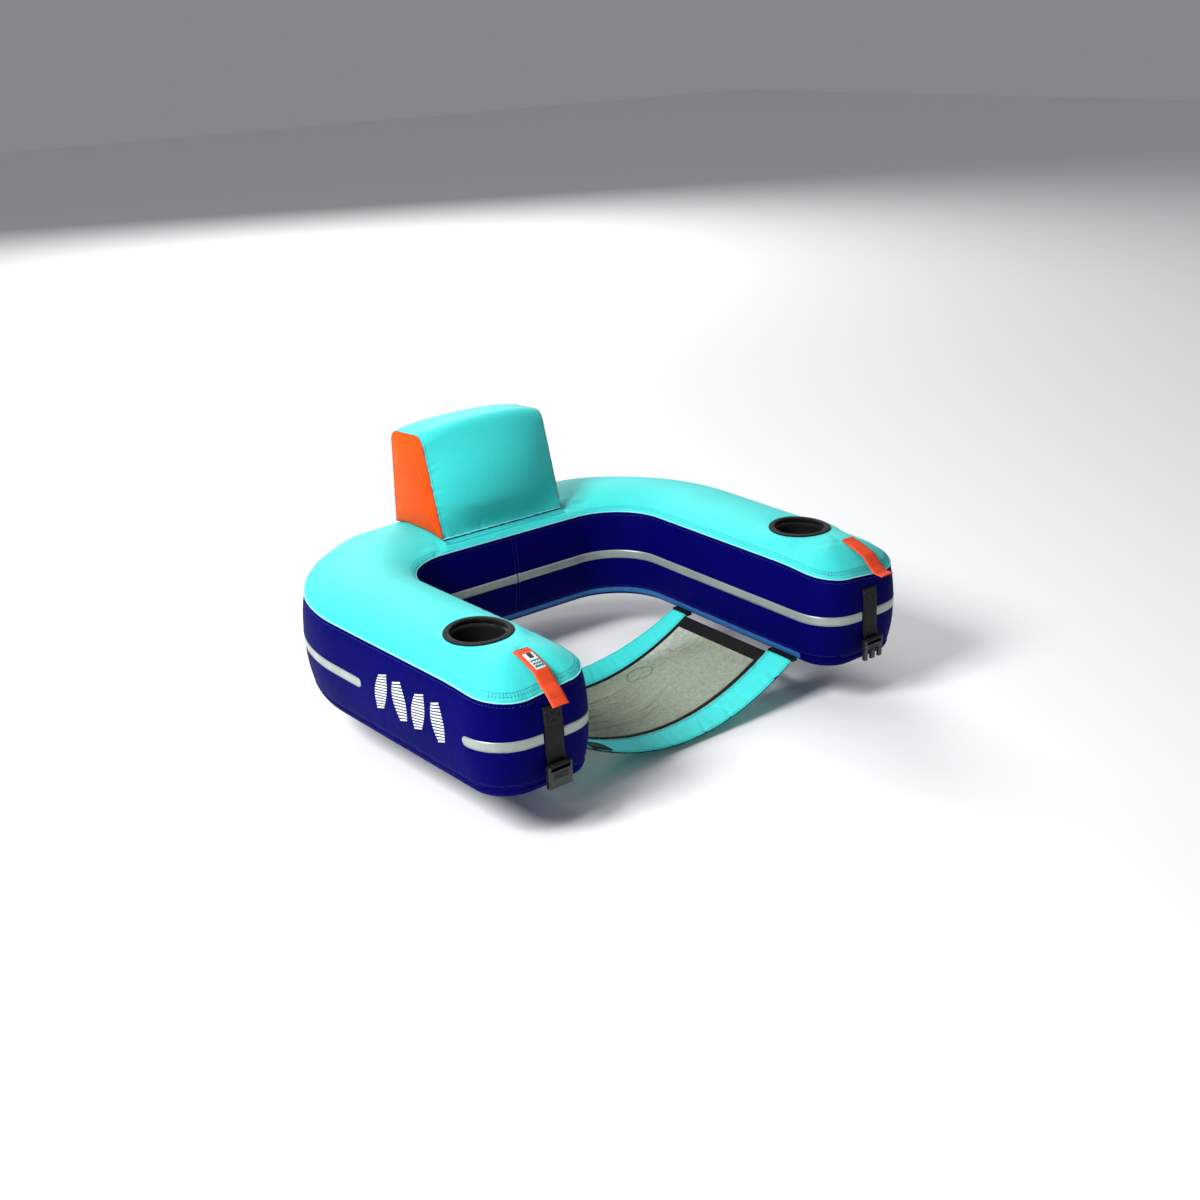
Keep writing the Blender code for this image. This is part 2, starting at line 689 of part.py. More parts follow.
def seat():
    rear_edge, front_edge = REAR_BAND[0] - GAP, FRONT_BAND[1] + GAP
    seat_sheet("seat_rear_band", "turquoise_neoprene", (-1, 1), REAR_BAND, BAND_THICKNESS)
    seat_sheet("seat_front_band", "turquoise_neoprene", (-1, 1), FRONT_BAND, BAND_THICKNESS)
    rear = (rear_edge - BINDING_WIDTH, rear_edge)
    front = (front_edge, front_edge + BINDING_WIDTH)
    seat_sheet("seat_rear_binding", "black_webbing", (-0.985, 0.985), rear, 0.002)
    seat_sheet("seat_front_binding", "black_webbing", (-0.985, 0.985), front, 0.002)
    field = (front[1] + GAP, rear[0] - GAP)
    seat_sheet("seat_mesh", "black_mesh", (-0.90, 0.90), field, MESH_THICKNESS, lines=4)
    seat_sheet("seat_edge_right", "black_webbing", (0.902, 0.985), field, 0.002, columns=2, lines=4)
    seat_sheet("seat_edge_left", "black_webbing", (-0.985, -0.902), field, 0.002, columns=2, lines=4)
    patch = (FRONT_BAND[0] + 0.001, FRONT_BAND[0] + 0.036)
    seat_sheet("seat_band_patch", "black_webbing", (-0.87, -0.70), patch, 0.0010, 0.0026, columns=3)


def seat_anchors():
    """Webbing loops under the zip that the seat's bands are sewn to."""
    low, high = 0.0015, 0.0085
    for place, (front, rear) in (("rear", REAR_BAND), ("front", FRONT_BAND)):
        for side, label in ((-1, "left"), (1, "right")):
            rows = []
            for z in (low, high) if side > 0 else (high, low):
                rows.append([(side * (toe(HALF_GAP, y) - 0.0004), y, z) for y in (front, rear)])
            anchor = loft(f"seat_anchor_{place}_{label}", "black_webbing", rows)
            depth = SEAT_EDGE_CLEARANCE - BAND_THICKNESS
            thicken(anchor, depth, outward=False)


# ---- Valves --------------------------------------------------------------------------------------


def valve(name, cap_name, x, y, z, neck):
    """Flanged neck and its flip cap, facing the rear; y is the outside of the cover."""
    bore, tube = 0.0095, VALVE_BORE - 0.0005
    profile = [
        (bore, 0.0050), (tube, 0.0050), (tube, 0.0020), (0.0190, 0.0020), (0.0200, 0.0),
        (tube, 0.0), (tube, -neck), (bore, -neck),
    ]
    base = turned(name, "white_valve", profile, closed=True)
    lid = [(0.0, 0.0120), (0.0110, 0.0120), (0.0155, 0.0095), (0.0155, 0.0055), (0.0, 0.0055)]
    cap = turned(cap_name, "white_valve", lid)
    for obj in (base, cap):
        obj.rotation_euler = (-math.pi / 2, 0.0, 0.0)
        obj.location = (x, y, z)


def main():
    clear_scene()
    for collection in (COLLECTION, CUTTERS):
        bpy.context.scene.collection.children.link(collection)

    holes = [cylinder(f"cup_hole_{k}", CUP_RADIUS + 0.0005, 0.1, (*cup_centre(k), CROWN_Z)) for k in (-1, 1)]
    wells = []
    for k in (-1, 1):
        low, high = CUP_FLOOR_Z - 0.006, CROWN_Z + 0.05
        centre = (*cup_centre(k), (low + high) / 2)
        wells.append(cylinder(f"cup_well_{k}", CUP_RADIUS + 0.003, high - low, centre))
    port = cylinder("valve_port", VALVE_BORE, 0.06, (0.0, BACK_OUTER_Y, VALVE_Z), "Y", 24)
    rest_port = cylinder("rest_port", VALVE_BORE, 0.06, (0.0, 0.086, REST_VALVE_Z), "Y", 24)

    top_panel(holes)
    bottom_panel()
    walls(port)
    bladder(wells, port)
    stripes()
    zipper()
    for side, label in ((-1, "left"), (1, "right")):
        cup_holder(label, side)
        pull_tab(label, side)
        tip_strap(label, side)
    tip_x = toe(ARM_CENTRE, TIP_Y)
    female_buckle(-tip_x)
    male_buckle(tip_x)
    backrest(rest_port)
    backrest_flange()
    seat()
    seat_anchors()
    outside = BACK_OUTER_Y + WALL_BULGE + GAP
    valve("valve_base", "valve_cap", 0.0, outside, VALVE_Z, 0.028)
    valve("backrest_valve_base", "backrest_valve_cap", 0.0, 0.1005, REST_VALVE_Z, 0.022)


main()
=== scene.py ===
"""Looks of an inflatable U-shaped pool lounger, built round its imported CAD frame.

Metres, +Z up, open front towards -Y.
"""

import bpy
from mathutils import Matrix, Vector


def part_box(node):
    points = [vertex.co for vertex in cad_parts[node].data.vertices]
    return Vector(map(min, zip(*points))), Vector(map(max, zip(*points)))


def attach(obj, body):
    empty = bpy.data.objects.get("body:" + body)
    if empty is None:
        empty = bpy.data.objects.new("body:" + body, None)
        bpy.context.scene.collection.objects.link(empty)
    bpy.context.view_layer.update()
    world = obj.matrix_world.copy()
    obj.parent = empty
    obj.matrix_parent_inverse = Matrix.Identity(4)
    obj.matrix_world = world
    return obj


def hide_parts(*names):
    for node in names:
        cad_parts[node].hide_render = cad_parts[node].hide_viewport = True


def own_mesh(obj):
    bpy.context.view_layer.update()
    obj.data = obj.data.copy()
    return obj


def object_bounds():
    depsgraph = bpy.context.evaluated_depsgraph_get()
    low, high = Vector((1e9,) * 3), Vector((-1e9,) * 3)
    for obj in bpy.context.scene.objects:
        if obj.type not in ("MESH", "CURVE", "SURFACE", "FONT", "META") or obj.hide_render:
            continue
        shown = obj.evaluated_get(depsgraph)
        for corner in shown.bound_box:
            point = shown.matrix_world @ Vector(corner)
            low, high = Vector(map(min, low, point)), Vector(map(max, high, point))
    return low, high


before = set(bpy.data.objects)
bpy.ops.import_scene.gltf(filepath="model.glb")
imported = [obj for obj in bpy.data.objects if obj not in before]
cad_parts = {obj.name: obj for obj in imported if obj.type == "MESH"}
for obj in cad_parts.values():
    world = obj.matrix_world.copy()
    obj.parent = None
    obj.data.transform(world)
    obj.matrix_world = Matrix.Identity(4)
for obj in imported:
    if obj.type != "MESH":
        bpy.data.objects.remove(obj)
CAD_BOX = [list(corner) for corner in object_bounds()]

import logging
import math
from dataclasses import dataclass
from enum import Enum

import bmesh
import bpy
import numpy as np
from mathutils import Euler, Vector
from mathutils.bvhtree import BVHTree

LOG = logging.getLogger("pool_lounger")
MM = 0.001
SEED = 41
# Spacing of the patches in which a used surface is smoother or rougher.
WEAR_MM = 12


# ---- Finishes -----------------------------------------------------------------------------------


class Coordinates(Enum):
    """Where a pattern takes its place from."""

    SURFACE = "UV"
    SPACE = "Object"


def linear(colour: str) -> tuple[float, float, float, float]:
    """Turns an sRGB hex colour into the linear values that shaders take.

    Args:
        colour: Six hex digits after a hash sign.

    Returns:
        Red, green, blue and alpha.
    """
    channels = [int(colour[k:k + 2], 16) / 255 for k in (1, 3, 5)]
    red, green, blue = [c / 12.92 if c <= 0.04045 else ((c + 0.055) / 1.055) ** 2.4 for c in channels]
    return red, green, blue, 1.0


def add_node(tree: bpy.types.NodeTree, kind: str, sockets: dict | None = None, **settings) -> bpy.types.Node:
    """Adds a shader node with its settings and links.

    Args:
        tree: The material's node tree.
        kind: The node's type, without its ShaderNode prefix.
        sockets: Input name or number to a value, or to the output that feeds it.
        settings: Properties of the node.

    Returns:
        The new node.
    """
    node = tree.nodes.new("ShaderNode" + kind)
    for name, value in settings.items():
        setattr(node, name, value)
    for name, value in (sockets or {}).items():
        if isinstance(value, bpy.types.NodeSocket):
            tree.links.new(value, node.inputs[name])
        else:
            node.inputs[name].default_value = value
    return node


def cells(size_mm: float) -> float:
    """Gives the texture scale whose cells or grains have a size in millimetres."""
    return 1 / (size_mm * MM)


@dataclass(frozen=True)
class Finish:
    """A material: two close colours in soft clouds, a raised pattern and a roughness range."""

    name: str
    colour: str
    shade: str
    roughness: tuple[float, float] = (0.6, 0.75)
    cloud_mm: float = 90.0
    grain_mm: float = 1.4
    relief_mm: float = 0.12
    metallic: float = 0.0
    sheen: float = 0.0
    coat: float = 0.0
    specular: float = 0.5
    coordinates: Coordinates = Coordinates.SURFACE

    def start(self) -> tuple[bpy.types.NodeTree, bpy.types.Node, bpy.types.NodeSocket]:
        """Makes the material with its shader and constant sockets.

        Returns:
            The node tree, the shader and the coordinates that patterns use.
        """
        made = bpy.data.materials.new(self.name)
        made.use_nodes = True
        tree = made.node_tree
        shader = tree.nodes["Principled BSDF"]
        constants = {
            "Metallic": self.metallic, "Sheen Weight": self.sheen, "Sheen Roughness": 0.45,
            "Coat Weight": self.coat, "Coat Roughness": 0.25, "Specular IOR Level": self.specular,
        }
        for socket, value in constants.items():
            shader.inputs[socket].default_value = value
        where = add_node(tree, "TexCoord").outputs[self.coordinates.value]
        return tree, shader, where

    def clouds(self, tree: bpy.types.NodeTree, shader: bpy.types.Node) -> bpy.types.NodeSocket:
        """Colours the shader with slow drifts between the two colours.

        Args:
            tree: The material's node tree.
            shader: Its Principled BSDF.

        Returns:
            The mixed colour.
        """
        space = add_node(tree, "TexCoord").outputs["Object"]
        drift = add_node(tree, "TexNoise", {"Vector": space, "Scale": cells(self.cloud_mm), "Detail": 4.0})
        wear = add_node(tree, "TexNoise", {"Vector": space, "Scale": cells(WEAR_MM), "Detail": 3.0})
        return self.vary(tree, shader, drift.outputs["Fac"], wear.outputs["Fac"])

    def vary(self, tree: bpy.types.NodeTree, shader: bpy.types.Node, tint: bpy.types.NodeSocket,
             wear: bpy.types.NodeSocket) -> bpy.types.NodeSocket:
        """Varies the shader's colour and roughness within the finish's ranges.

        Args:
            tree: The material's node tree.
            shader: Its Principled BSDF.
            tint: Runs from 0 (colour) to 1 (shade).
            wear: Runs from 0 (smoothest) to 1 (roughest).

        Returns:
            The mixed colour.
        """
        tones = {0: tint, 6: linear(self.colour), 7: linear(self.shade)}
        mixed = add_node(tree, "Mix", tones, data_type="RGBA")
        tree.links.new(mixed.outputs[2], shader.inputs["Base Color"])
        low, high = self.roughness
        rough = add_node(tree, "MapRange", {0: wear, 3: low, 4: high})
        tree.links.new(rough.outputs[0], shader.inputs["Roughness"])
        return mixed.outputs[2]

    def paint_shade(self, tree: bpy.types.NodeTree, shader: bpy.types.Node, colour: bpy.types.NodeSocket,
               depth: bpy.types.NodeSocket) -> None:
        """Paints shade into the shader's colour: multiplies it by how light each point of the pattern is."""
        tones = {0: 1.0, 6: colour, 7: depth}
        toned = add_node(tree, "Mix", tones, data_type="RGBA", blend_type="MULTIPLY")
        tree.links.new(toned.outputs[2], shader.inputs["Base Color"])

    def raise_pattern(self, tree: bpy.types.NodeTree, shader: bpy.types.Node,
                      height: bpy.types.NodeSocket) -> None:
        """Gives the surface its relief from a height between 0 and 1."""
        relief = self.relief_mm * MM
        bump = add_node(tree, "Bump", {"Height": height, "Distance": relief, "Strength": 0.8})
        tree.links.new(bump.outputs[0], shader.inputs["Normal"])

    def build(self) -> bpy.types.Material:
        """Builds a fine random grain, as moulding leaves on plastic and vinyl."""
        tree, shader, where = self.start()
        self.clouds(tree, shader)
        grain = add_node(tree, "TexNoise", {"Vector": where, "Scale": cells(self.grain_mm), "Detail": 2.0})
        self.raise_pattern(tree, shader, grain.outputs["Fac"])
        return bpy.data.materials[self.name]


@dataclass(frozen=True)
class Woven(Finish):
    """Cloth with threads in two directions: coated polyester, webbing and labels."""

    stretch: float = 1.0

    def build(self) -> bpy.types.Material:
        """Builds crossing threads; stretch above 1 draws the ribs of webbing."""
        tree, shader, where = self.start()
        colour = self.clouds(tree, shader)
        pitch = self.grain_mm * MM
        threads = []
        for axis, share in (("X", 1.0), ("Y", self.stretch)):
            wave = add_node(
                tree, "TexWave",
                {"Vector": where, "Scale": math.tau / 20 / (pitch * share), "Distortion": 0.4, "Detail": 1.0},
                wave_type="BANDS", bands_direction=axis, wave_profile="SIN",
            )
            threads.append(wave.outputs["Fac"])
        weave = add_node(tree, "Math", {0: threads[0], 1: threads[1]}, operation="MULTIPLY")
        self.raise_pattern(tree, shader, weave.outputs[0])
        # The gaps between threads sit in their own shadow.
        depth = add_node(tree, "MapRange", {0: weave.outputs[0], 3: 0.82, 4: 1.08})
        self.paint_shade(tree, shader, colour, depth.outputs[0])
        return bpy.data.materials[self.name]


@dataclass(frozen=True)
class Knitted(Finish):
    """Jersey-faced neoprene foam: fine loops in staggered rows over a soft, slightly dimpled body."""

    dimple_mm: float = 9.0

    def build(self) -> bpy.types.Material:
        """Builds the loops as small cells, with soft dimples of the foam below them."""
        tree, shader, where = self.start()
        colour = self.clouds(tree, shader)
        loops = add_node(tree, "TexVoronoi", {"Vector": where, "Scale": cells(self.grain_mm)}, feature="F1")
        foam = add_node(tree, "TexNoise", {"Vector": where, "Scale": cells(self.dimple_mm), "Detail": 2.0})
        height = add_node(tree, "Math", {0: foam.outputs["Fac"], 1: 0.6, 2: loops.outputs["Distance"]},
                          operation="MULTIPLY_ADD")
        self.raise_pattern(tree, shader, height.outputs[0])
        # Painted shade: the colour darkens from each loop's middle towards its edges, where the loops meet.
        depth = add_node(tree, "MapRange", {0: loops.outputs["Distance"], 1: 0.0, 2: 0.9, 3: 1.05, 4: 0.93})
        self.paint_shade(tree, shader, colour, depth.outputs[0])
        return bpy.data.materials[self.name]


@dataclass(frozen=True)
class OpenMesh(Finish):
    """Knitted mesh: threads round rows of staggered holes that one sees through."""

    hole_share: float = 0.42
    hole_edge: float = 0.14

    def build(self) -> bpy.types.Material:
        """Builds the holes as an alpha pattern; they are drawn coarser than life so that they show."""
        tree, shader, where = self.start()
        # Painted highlight: the black threads get pale, mottled colours where light catches them.
        self.clouds(tree, shader)
        scale = math.tau / (self.grain_mm * MM)
        split = add_node(tree, "SeparateXYZ", {0: where})
        along = add_node(tree, "Math", {0: split.outputs[0], 1: scale}, operation="MULTIPLY")
        across = add_node(tree, "Math", {0: split.outputs[1], 1: scale}, operation="MULTIPLY")
        sines = [
            add_node(tree, "Math", {0: direction.outputs[0]}, operation=kind).outputs[0]
            for direction, kind in ((along, "SINE"), (across, "COSINE"))
        ]
        cells = add_node(tree, "Math", {0: sines[0], 1: sines[1]}, operation="MULTIPLY")
        size = add_node(tree, "Math", {0: cells.outputs[0]}, operation="ABSOLUTE")
        clear = self.hole_share + self.hole_edge
        thread = add_node(
            tree, "MapRange", {0: size.outputs[0], 1: self.hole_share, 2: clear, 3: 1.0, 4: 0.0}
        )
        tree.links.new(thread.outputs[0], shader.inputs["Alpha"])
        self.raise_pattern(tree, shader, size.outputs[0])
        return bpy.data.materials[self.name]


@dataclass(frozen=True)
class Banded(Finish):
    """Reflective tape: glass beads under a clear skin, with slow bands of gloss across its length."""

    band_mm: float = 55.0

    def build(self) -> bpy.types.Material:
        """Builds the bands from stretched noise and a fine honeycomb of beads."""
        tree, shader, where = self.start()
        stretched = add_node(tree, "Mapping", {0: where, 3: (cells(self.band_mm), 2.0, 1.0)})
        bands = add_node(tree, "TexNoise", {"Vector": stretched.outputs[0], "Scale": 1.0, "Detail": 3.0})
        # Painted reflection: the colour is lighter where the bands are glossier; the roughness bands are the
        # tape's own.
        self.vary(tree, shader, bands.outputs["Fac"], bands.outputs["Fac"])
        beads = add_node(tree, "TexVoronoi", {"Vector": where, "Scale": cells(self.grain_mm)})
        self.raise_pattern(tree, shader, beads.outputs["Distance"])
        return bpy.data.materials[self.name]


def thread(tint: str, colour: str, shade: str) -> Finish:
    """Bonded nylon sewing thread: smooth, round and faintly glossy."""
    return Finish("bonded_nylon_thread_" + tint, colour, shade, (0.4, 0.55), 6, 0.5, 0.05,
                  coordinates=Coordinates.SPACE)


# Finishes by name. Thread spacings are drawn 1.5 to 2 times coarser than life so that they show.
FINISHES = {
    # Neoprene laminated with nylon jersey: matt, with the soft sheen of fine loops.
    "turquoise": Knitted("jersey_neoprene_turquoise", "#42DFD9", "#34CCCC", (0.55, 0.70), 110, 1.5, 0.16,
                         sheen=0.08, specular=0.25),
    "black_foam": Knitted("jersey_neoprene_black", "#0C0C0F", "#060608", (0.65, 0.8), 60, 1.5, 0.2,
                          sheen=0.04, specular=0.2),
    # Coated 600 denier polyester: plain weave with a faint gloss from the coating.
    "navy": Woven("coated_polyester_navy", "#04046A", "#02024C", (0.5, 0.64), 120, 1.3, 0.12, specular=0.02),
    "orange": Woven("coated_polyester_orange", "#FF6600", "#F23A00", (0.45, 0.6), 90, 1.3, 0.12,
                    specular=0.15),
    # Polypropylene webbing: ribs across its length.
    "orange_webbing": Woven("ribbed_webbing_orange", "#FF5216", "#E8430E", (0.5, 0.65), 20, 1.6, 0.3,
                            stretch=2.2),
    "black_webbing": Woven("ribbed_webbing_black", "#0B0B0E", "#050507", (0.5, 0.7), 20, 1.6, 0.3,
                           specular=0.25, stretch=2.2),
    # Open black polyester knit, coloured pale as a painted highlight where light catches its threads, and
    # see-through between them.
    "mesh": OpenMesh("knitted_mesh_black", "#C6D2B8", "#5F6B56", (0.6, 0.75), 7, 5.0, 0.2, specular=0.2,
                     hole_share=0.34),
    # Glass beads on cloth under a clear skin: bright grey, glossier in bands, and painted lighter in those
    # bands as a painted reflection.
    "tape": Banded("glass_bead_tape_silver", "#AAB3AE", "#7E8884", (0.28, 0.5), 60, 0.9, 0.05, metallic=0.25,
                   coat=0.3),
    # Acetal, injection moulded: dark, hard and finely grained.
    "acetal": Finish("moulded_acetal_black", "#141416", "#0C0C0E", (0.3, 0.42), 30, 0.9, 0.03,
                     coordinates=Coordinates.SPACE),
    # Zip: woven polyester tape and a coil of drawn nylon, glossier than the tape.
    "blue_tape": Woven("woven_zip_tape_blue", "#1F62A6", "#18508C", (0.5, 0.65), 30, 1.0, 0.12,
                       coordinates=Coordinates.SPACE),
    "blue_coil": Finish("nylon_coil_blue", "#2F7FC6", "#2468A8", (0.3, 0.45), 10, 0.8, 0.03,
                        coordinates=Coordinates.SPACE),
    # Polyurethane film of the bladders: smooth, with a soft gloss.
    "film": Finish("polyurethane_film_grey", "#B9C0C3", "#A7B0B4", (0.25, 0.4), 70, 3.0, 0.1,
                   coordinates=Coordinates.SPACE),
    # Soft vinyl, moulded: satin and slightly waxy.
    "valve": Finish("moulded_vinyl_white", "#E4E6E8", "#D4D7DA", (0.3, 0.42), 25, 1.1, 0.04, coat=0.15,
                    coordinates=Coordinates.SPACE),
    # Die-cast zinc: metal with a tumbled, fine-grained skin.
    "zinc": Finish("die_cast_zinc_grey", "#7C818A", "#686D76", (0.28, 0.42), 8, 0.6, 0.03, metallic=1.0,
                   coordinates=Coordinates.SPACE),
    # Damask label: fine satin weave in three colours of yarn.
    "label": Woven("damask_label_white", "#E9ECEA", "#DDE2DF", (0.55, 0.7), 12, 0.7, 0.06),
    "label_ink": Woven("damask_label_teal", "#1D8E9C", "#17707E", (0.55, 0.7), 8, 0.7, 0.06),
    "label_black": Woven("damask_label_black", "#17191B", "#0D0F10", (0.55, 0.7), 8, 0.7, 0.06),
    # Plastisol screen print: a thin, slightly glossy skin that follows the weave below it.
    "print": Finish("screen_print_white", "#E8EBEA", "#D5DAD8", (0.4, 0.55), 25, 1.3, 0.06),
    "turquoise_thread": thread("turquoise", "#2296B2", "#1B86A2"),
    "pale_thread": thread("pale", "#9DEBEF", "#7FDDE6"),
    "navy_thread": thread("navy", "#13137E", "#0D0D62"),
    "grey_thread": thread("grey", "#4A4D50", "#3A3D40"),
    "red_thread": thread("red", "#B8320C", "#962808"),
}


def finish_of(name: str) -> bpy.types.Material:
    """Gives a finish's material, built when it is first asked for."""
    finish = FINISHES[name]
    found = bpy.data.materials.get(finish.name)
    return found or finish.build()


# ---- Tools for cloth ----------------------------------------------------------------------------


def line(start: tuple, end: tuple, steps: int) -> np.ndarray:
    """Points from start towards end, without the end itself."""
    share = np.linspace(0, 1, steps, endpoint=False)[:, None]
    return np.array(start, float) * (1 - share) + np.array(end, float) * share


def arc(centre: tuple, radius: float, start: float, end: float, steps: int, last: bool = False) -> np.ndarray:
    """Points of a circle's arc in degrees, with or without its last point."""
    angles = np.radians(np.linspace(start, end, steps, endpoint=last))
    return np.stack([centre[0] + radius * np.cos(angles), centre[1] + radius * np.sin(angles)], -1)


def smoothstep(value: np.ndarray) -> np.ndarray:
    """Eases a 0 to 1 value in and out."""
    value = np.clip(value, 0, 1)
    return value * value * (3 - 2 * value)


def unit(vectors: np.ndarray) -> np.ndarray:
    """Scales vectors to length 1."""
    return vectors / (np.linalg.norm(vectors, axis=-1, keepdims=True) + 1e-12)


def at_x(x: float, outline: np.ndarray) -> np.ndarray:
    """Puts (y, z) points at an x."""
    return np.column_stack([np.full(len(outline), x), outline])


def read(values: np.ndarray, run: np.ndarray, places: np.ndarray) -> np.ndarray:
    """Reads a line's values at distances along it."""
    return np.stack([np.interp(places, run, column) for column in values.T], -1)


def run_of(points: np.ndarray) -> np.ndarray:
    """Distance along a line of points, starting at 0."""
    return np.concatenate([[0.0], np.cumsum(np.linalg.norm(np.diff(points, axis=0), axis=1))])


def resampled(points: np.ndarray, count: int, smooth: bool = False) -> np.ndarray:
    """Places points evenly along a line.

    Args:
        points: The line's own points.
        count: How many points to place.
        smooth: Rounds the line's corners first, by repeated averaging of a dense copy.

    Returns:
        The new points.
    """
    run = run_of(points)
    if smooth:
        points = read(points, run, np.linspace(0, run[-1], 40 * len(points)))
        for _ in range(160):
            points[1:-1] = (points[:-2] + 2 * points[1:-1] + points[2:]) / 4
        run = run_of(points)
    return read(points, run, np.linspace(0, run[-1], count))


class Sewing:
    """Welds grids of points into one mesh and keeps each panel's faces apart."""

    def __init__(self) -> None:
        """Starts with no points."""
        self.points: list[np.ndarray] = []
        self.seen: dict[tuple, int] = {}
        self.panels: dict[str, list] = {}

    def weld(self, grid: np.ndarray) -> np.ndarray:
        """Adds a grid of points, reusing those already there.

        Args:
            grid: Rows by columns by three.

        Returns:
            The points' numbers, rows by columns.
        """
        ids = np.empty(grid.shape[:2], int)
        for place in np.ndindex(*ids.shape):
            key = tuple(np.round(grid[place], 6) + 0.0)
            if key not in self.seen:
                self.seen[key] = len(self.points)
                self.points.append(grid[place])
            ids[place] = self.seen[key]
        return ids

    def sew(self, panel: str, ids: np.ndarray, u: np.ndarray, v: np.ndarray) -> None:
        """Fills a grid with faces that look along (row direction) x (next row).

        Args:
            panel: The panel that the faces belong to.
            ids: Point numbers, rows by columns.
            u: Distance along, for each column.
            v: Distance across, for each row.
        """
        faces = self.panels.setdefault(panel, [])
        for r in range(ids.shape[0] - 1):
            for c in range(ids.shape[1] - 1):
                corners = {}
                for dr, dc in ((0, 0), (0, 1), (1, 1), (1, 0)):
                    corners.setdefault(int(ids[r + dr, c + dc]), (float(u[c + dc]), float(v[r + dr])))
                if len(corners) > 2:
                    faces.append((list(corners), list(corners.values())))

    def piece(self, name: str, panel: str, points: np.ndarray, finish: str) -> bpy.types.Object:
        """Makes one panel an object.

        Args:
            name: The object's name.
            panel: The panel to take.
            points: Where the welded points are now.
            finish: The panel's finish.

        Returns:
            The new object.
        """
        faces = self.panels[panel]
        used = sorted({k for corners, _ in faces for k in corners})
        number = {k: n for n, k in enumerate(used)}
        polygons = [[number[k] for k in corners] for corners, _ in faces]
        uv = [place for _, places in faces for place in places]
        return mesh_object(name, points[used], polygons, finish, uv)


def mesh_object(name: str, points: np.ndarray, faces: list, finish: str,
                uv: list | None = None) -> bpy.types.Object:
    """Makes a mesh object with a finish.

    Args:
        name: The object's name.
        points: Its vertices.
        faces: Vertex numbers of each face.
        finish: A name in FINISHES.
        uv: Surface coordinates in metres, one for each face corner.

    Returns:
        The new object.
    """
    mesh = bpy.data.meshes.new(name)
    mesh.from_pydata([tuple(map(float, p)) for p in points], [], faces)
    if uv is not None:
        mesh.uv_layers.new(name="surface").data.foreach_set("uv", np.array(uv, np.float32).ravel())
    mesh.materials.append(finish_of(finish))
    mesh.shade_smooth()
    obj = bpy.data.objects.new(name, mesh)
    bpy.context.scene.collection.objects.link(obj)
    return obj


def sheet_object(name: str, grid: np.ndarray, finish: str, closed: bool = False) -> bpy.types.Object:
    """Makes a grid of points a sheet with its own surface coordinates.

    Args:
        name: The object's name.
        grid: Rows by columns by three; faces look along (row direction) x (next row).
        finish: A name in FINISHES.
        closed: Joins the last column to the first.

    Returns:
        The new object.
    """
    if closed:
        grid = np.concatenate([grid, grid[:, :1]], axis=1)
    cloth = Sewing()
    middle = grid.shape[0] // 2, grid.shape[1] // 2
    cloth.sew(name, cloth.weld(grid), run_of(grid[middle[0]]), run_of(grid[:, middle[1]]))
    return cloth.piece(name, name, np.array(cloth.points), finish)


def take(obj: bpy.types.Object) -> None:
    """Selects one object alone and makes it active."""
    bpy.ops.object.select_all(action="DESELECT")
    obj.select_set(True)
    bpy.context.view_layer.objects.active = obj


def apply_modifiers(obj: bpy.types.Object) -> bpy.types.Object:
    """Applies every modifier, in order."""
    take(obj)
    for modifier in list(obj.modifiers):
        bpy.ops.object.modifier_apply(modifier=modifier.name)
    obj.select_set(False)
    return obj


def refine(obj: bpy.types.Object, levels: int = 1) -> bpy.types.Object:
    """Subdivides a piece smoothly and keeps its border."""
    step = obj.modifiers.new("smooth", "SUBSURF")
    step.levels = step.render_levels = levels
    step.boundary_smooth = "PRESERVE_CORNERS"
    return apply_modifiers(obj)


def thicken(obj: bpy.types.Object, thickness: float, outward: bool = False) -> bpy.types.Object:
    """Gives a sheet its wall."""
    wall = obj.modifiers.new("wall", "SOLIDIFY")
    wall.thickness = thickness
    wall.offset = 1.0 if outward else -1.0
    return apply_modifiers(obj)


def vertices_of(obj: bpy.types.Object) -> np.ndarray:
    """The mesh's vertices as an array."""
    places = np.empty(len(obj.data.vertices) * 3)
    obj.data.vertices.foreach_get("co", places)
    return places.reshape(-1, 3)


def normals_of(obj: bpy.types.Object) -> np.ndarray:
    """The mesh's vertex normals as an array."""
    normals = np.empty(len(obj.data.vertices) * 3, np.float32)
    obj.data.vertex_normals.foreach_get("vector", normals)
    return normals.reshape(-1, 3).astype(float)


def set_vertices(obj: bpy.types.Object, places: np.ndarray) -> None:
    """Moves the mesh's vertices."""
    obj.data.vertices.foreach_set("co", places.astype(np.float32).ravel())
    obj.data.update()


def relaxed(points: np.ndarray, faces: list, free: np.ndarray, rounds: int) -> np.ndarray:
    """Evens out part of a sewn bag by drawing its free points towards their neighbours.

    Args:
        points: The bag's points.
        faces: Point numbers of each face.
        free: Whether each point may move.
        rounds: How often it is repeated.

    Returns:
        The points afterwards.
    """
    sides = {tuple(sorted(pair)) for face in faces for pair in zip(face, face[1:] + face[:1])}
    edges = np.array(sorted(sides))
    edges = np.concatenate([edges, edges[:, ::-1]])
    count = np.bincount(edges[:, 0], minlength=len(points))[:, None]
    points = points.copy()
    for _ in range(rounds):
        total = np.zeros_like(points)
        np.add.at(total, edges[:, 0], points[edges[:, 1]])
        points[free] += (0.5 * (total / np.maximum(count, 1) - points))[free]
    return points


